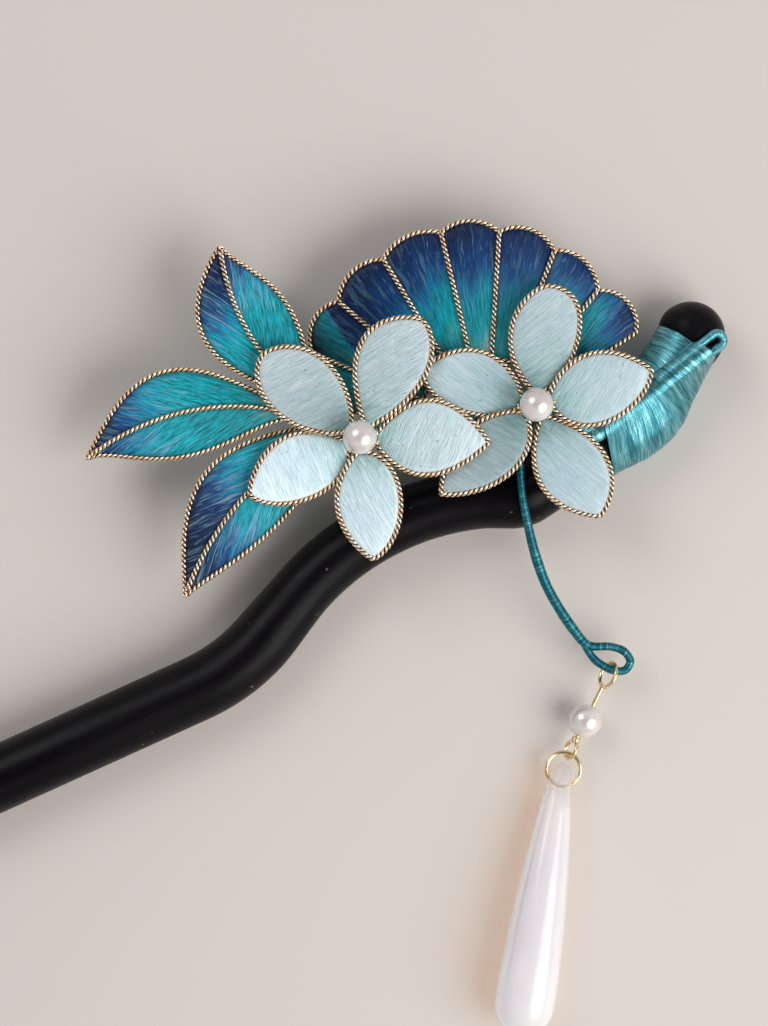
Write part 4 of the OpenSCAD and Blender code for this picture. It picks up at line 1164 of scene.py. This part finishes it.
tilt = math.radians(drop["tilt"])
inLoop = np.array([0, math.cos(tilt), math.sin(tilt)])
offLoop = np.array([0, -math.sin(tilt), math.cos(tilt)])
pinAxis = fromPin([1, 0, 0]) - fromPin([0, 0, 0])


# A loop starts on the pin and turns nearly all the way round, so its end stands just clear of the pin
def loopArc(centre, radius, start, sweep):
    a = np.radians(np.linspace(start, start + sweep, 90))[:, None]
    return np.array([centre, 0, 0]) + radius * (np.cos(a) * np.array([1, 0, 0]) + np.sin(a) * inLoop)


# Both loops with the straight shank between them, softened where they meet it
def pinPath():
    shank = np.linspace(drop["upper"] + 0.05, drop["length"] - drop["lower"] - 0.05, 60)[:, None] * (1, 0, 0)
    ends = loopArc(0, drop["upper"], 350, -342), loopArc(drop["length"], drop["lower"], 180, -344)
    return softened(evenPath(np.vstack([ends[0], shank, ends[1]]), 0.06), 7)


# The turns of wire below the pearl: a helix round the pin
def coilPath():
    a = np.linspace(0, 2 * math.pi * drop["coilTurns"], 90)
    start = drop["length"] - drop["lower"] - drop["coilFrom"]
    along = start + drop["coilPitch"] * a / 2
    return np.stack([along, drop["coil"] * np.cos(a), drop["coil"] * np.sin(a)], 1)


pin, bead, ring = newShape(), newShape(), newShape()
addTube(pin, fromPin(pinPath()), drop["pin"], 16, normal=fromPin(offLoop) - fromPin([0, 0, 0]))
addTube(pin, fromPin(coilPath()), drop["coilWire"], 10, normal=pinAxis)
makePiece("dropPin", pin, materials["paleGold"], "eye_pin")
addPearl(bead, fromPin([drop["pearlAt"], 0, 0]), pinAxis, pearls["drop"])
makePiece("dropPearl", bead, materials["pearl"], "drop_pearl")
a = np.radians(drop["split"] + np.linspace(drop["gap"], 360 - drop["gap"] * 0.2, 140))
ringPath = np.stack([drop["ring"] * np.cos(a), drop["ring"] * np.sin(a), np.linspace(-0.1, 0.12, len(a))], 1)
addTube(ring, ringPath + drop["ringAt"], drop["ringWire"], 16, dome=0.15)
makePiece("openRing", ring, materials["paleGold"], "jump_ring")

# The stone, in mm, and its look: milky all through, with a tip clear enough for the ring in it to show, and a
# pale warm shadow, since part of the light comes through
stone = {
    "tip": np.array([27.35, -38.17, 3.05]), "turn": 260.9, "tilt": 2.7, "radius": 4.6, "length": 42.2,
    "tipR": 1.55, "low": (224, 224, 236), "high": (236, 236, 247), "shadow": (255, 229, 199), "through": 0.8,
    "clear": (3.6, 8.5, 0.36, 1.0),     # from, to, and the alpha at each
}
stoneLook = {
    "Subsurface Weight": 1.0, "Subsurface Radius": (0.9, 0.95, 1.0), "Subsurface Scale": 0.014,
    "Transmission Weight": 0.2, "IOR": 1.5,
}


# The stone's profile: a small round tip, sides that swell by a power of the distance, and a round end
def stoneProfile():
    radius, length, tipR = stone["radius"], stone["length"], stone["tipR"]
    widest = length - radius - 2
    a, b = np.linspace(0.05, math.pi / 2, 16), np.linspace(0, math.pi / 2 - 0.04, 26)
    cap = np.stack([tipR * np.sin(a), tipR * (1 - np.cos(a))], 1)
    s = np.linspace(tipR, widest, 70)[1:]
    body = np.stack([radius - (radius - tipR) * ((widest - s) / (widest - tipR)) ** 1.7, s], 1)
    end = np.stack([radius * np.cos(b), length - radius + radius * np.sin(b)], 1)
    return softened(evenPath(np.vstack([cap, body, end]), 0.3), 5)


# The alpha climbs evenly along the tip, and a share of each shadow ray passes through
def makeStone(name):
    material, tree, shader = newMaterial(name)
    addMilky(tree, shader, 90.0, 3.0, stone["low"], stone["high"], (0.12, 0.07))
    setAll(shader, stoneLook)
    solid = rangeNode(tree, mapSockets(tree, "threads")[0], *stone["clear"])
    tree.links.new(solid, shader.inputs["Alpha"])
    rays, mixed = addNode(tree, "LightPath"), addNode(tree, "MixShader")
    passing = addNode(tree, "BsdfTransparent", Color=paint(*stone["shadow"]))
    tree.links.new(times(tree, rays.outputs["Is Shadow Ray"], stone["through"]), mixed.inputs[0])
    tree.links.new(shader.outputs[0], mixed.inputs[1])
    tree.links.new(passing.outputs[0], mixed.inputs[2])
    tree.links.new(mixed.outputs[0], tree.nodes["Material Output"].inputs["Surface"])
    return material


teardrop = newShape()
lean = math.radians(stone["tilt"])
stoneAxis = heading(stone["turn"]) * math.cos(lean) + upward * math.sin(lean)
addTurned(teardrop, stoneProfile(), stone["tip"], stoneAxis, 96)
makePiece("stoneDrop", teardrop, makeStone("milkyStone"), "teardrop")
print("pearls and drop made")

# Pale studio floor, a large soft light at the right and a smaller one at the upper left, placed in the layout
studio = {"floor": (216, 209, 203), "half": 4.0, "below": -0.00005, "sky": 1.0}
lights = {
    "key": ((430, -230, 430), (40, -20, 0), 0.6, 3.5, (1.0, 0.98, 0.955)),      # at, aim, size, watts, colour
    "fill": ((-340, 330, 520), (0, 0, 0), 0.4, 1.15, (0.97, 0.98, 1.0)),
}
half, below = studio["half"], studio["below"]
floorMesh = bpy.data.meshes.new("floor")
corners = [(-half, -half, below), (half, -half, below), (half, half, below), (-half, half, below)]
floorMesh.from_pydata(corners, [], [(0, 1, 2, 3)])
floor = bpy.data.objects.new("floor", floorMesh)
bpy.context.scene.collection.objects.link(floor)
material, tree, shader = newMaterial("paper")
tones = [(0.3, (*studio["floor"], 0.97)), (0.7, studio["floor"])]
tree.links.new(paintRamp(tree, addCloud(tree, 6.0, 2.0), tones), shader.inputs["Base Color"])
setAll(shader, {"Roughness": 0.85})
floorMesh.materials.append(material)

for name, (at, aim, size, watts, colour) in lights.items():
    data = bpy.data.lights.new(name, "AREA")
    data.shape, data.size, data.energy, data.color = "DISK", size, watts, colour
    light = bpy.data.objects.new(name, data)
    bpy.context.scene.collection.objects.link(light)
    light.location = toRow(at)
    light.rotation_euler = (Vector(toRow(aim)) - Vector(toRow(at))).to_track_quat("-Z", "Y").to_euler()

# The room's light comes from its pale walls, and the ceiling straight above is dark
world = bpy.data.worlds.new("studio")
bpy.context.scene.world = world
world.use_nodes = True
room = world.node_tree
direction, height = addNode(room, "TexCoord"), addNode(room, "SeparateXYZ")
room.links.new(direction.outputs["Generated"], height.inputs[0])
walls = rampNode(room, height.outputs["Z"], [
    (0.0, (0.50, 0.50, 0.50, 1)), (0.72, (0.50, 0.49, 0.485, 1)), (0.9, (0.2, 0.19, 0.19, 1)),
    (0.97, (0.08, 0.078, 0.078, 1))])
room.links.new(walls, room.nodes["Background"].inputs["Color"])
room.nodes["Background"].inputs["Strength"].default_value = studio["sky"]

# Camera straight above the photograph's middle, turned with the layout; field is the height seen, in mm, at
# the given distance
camera = {"height": 0.6, "distance": 595.0, "field": 156.64}
data = bpy.data.cameras.new("camera")
data.sensor_fit, data.sensor_height, data.sensor_width = "VERTICAL", 36.0, 36.0
data.lens = 36.0 * camera["distance"] / camera["field"]
data.clip_start, data.clip_end = 0.01, 50
view = bpy.data.objects.new("camera", data)
bpy.context.scene.collection.objects.link(view)
centre = toRow((0, 0, 0))
view.location = (centre[0], centre[1], camera["height"])
view.rotation_euler = (0, 0, -layout["turn"])
bpy.context.scene.camera = view
bpy.context.scene.view_settings.view_transform = "Standard"
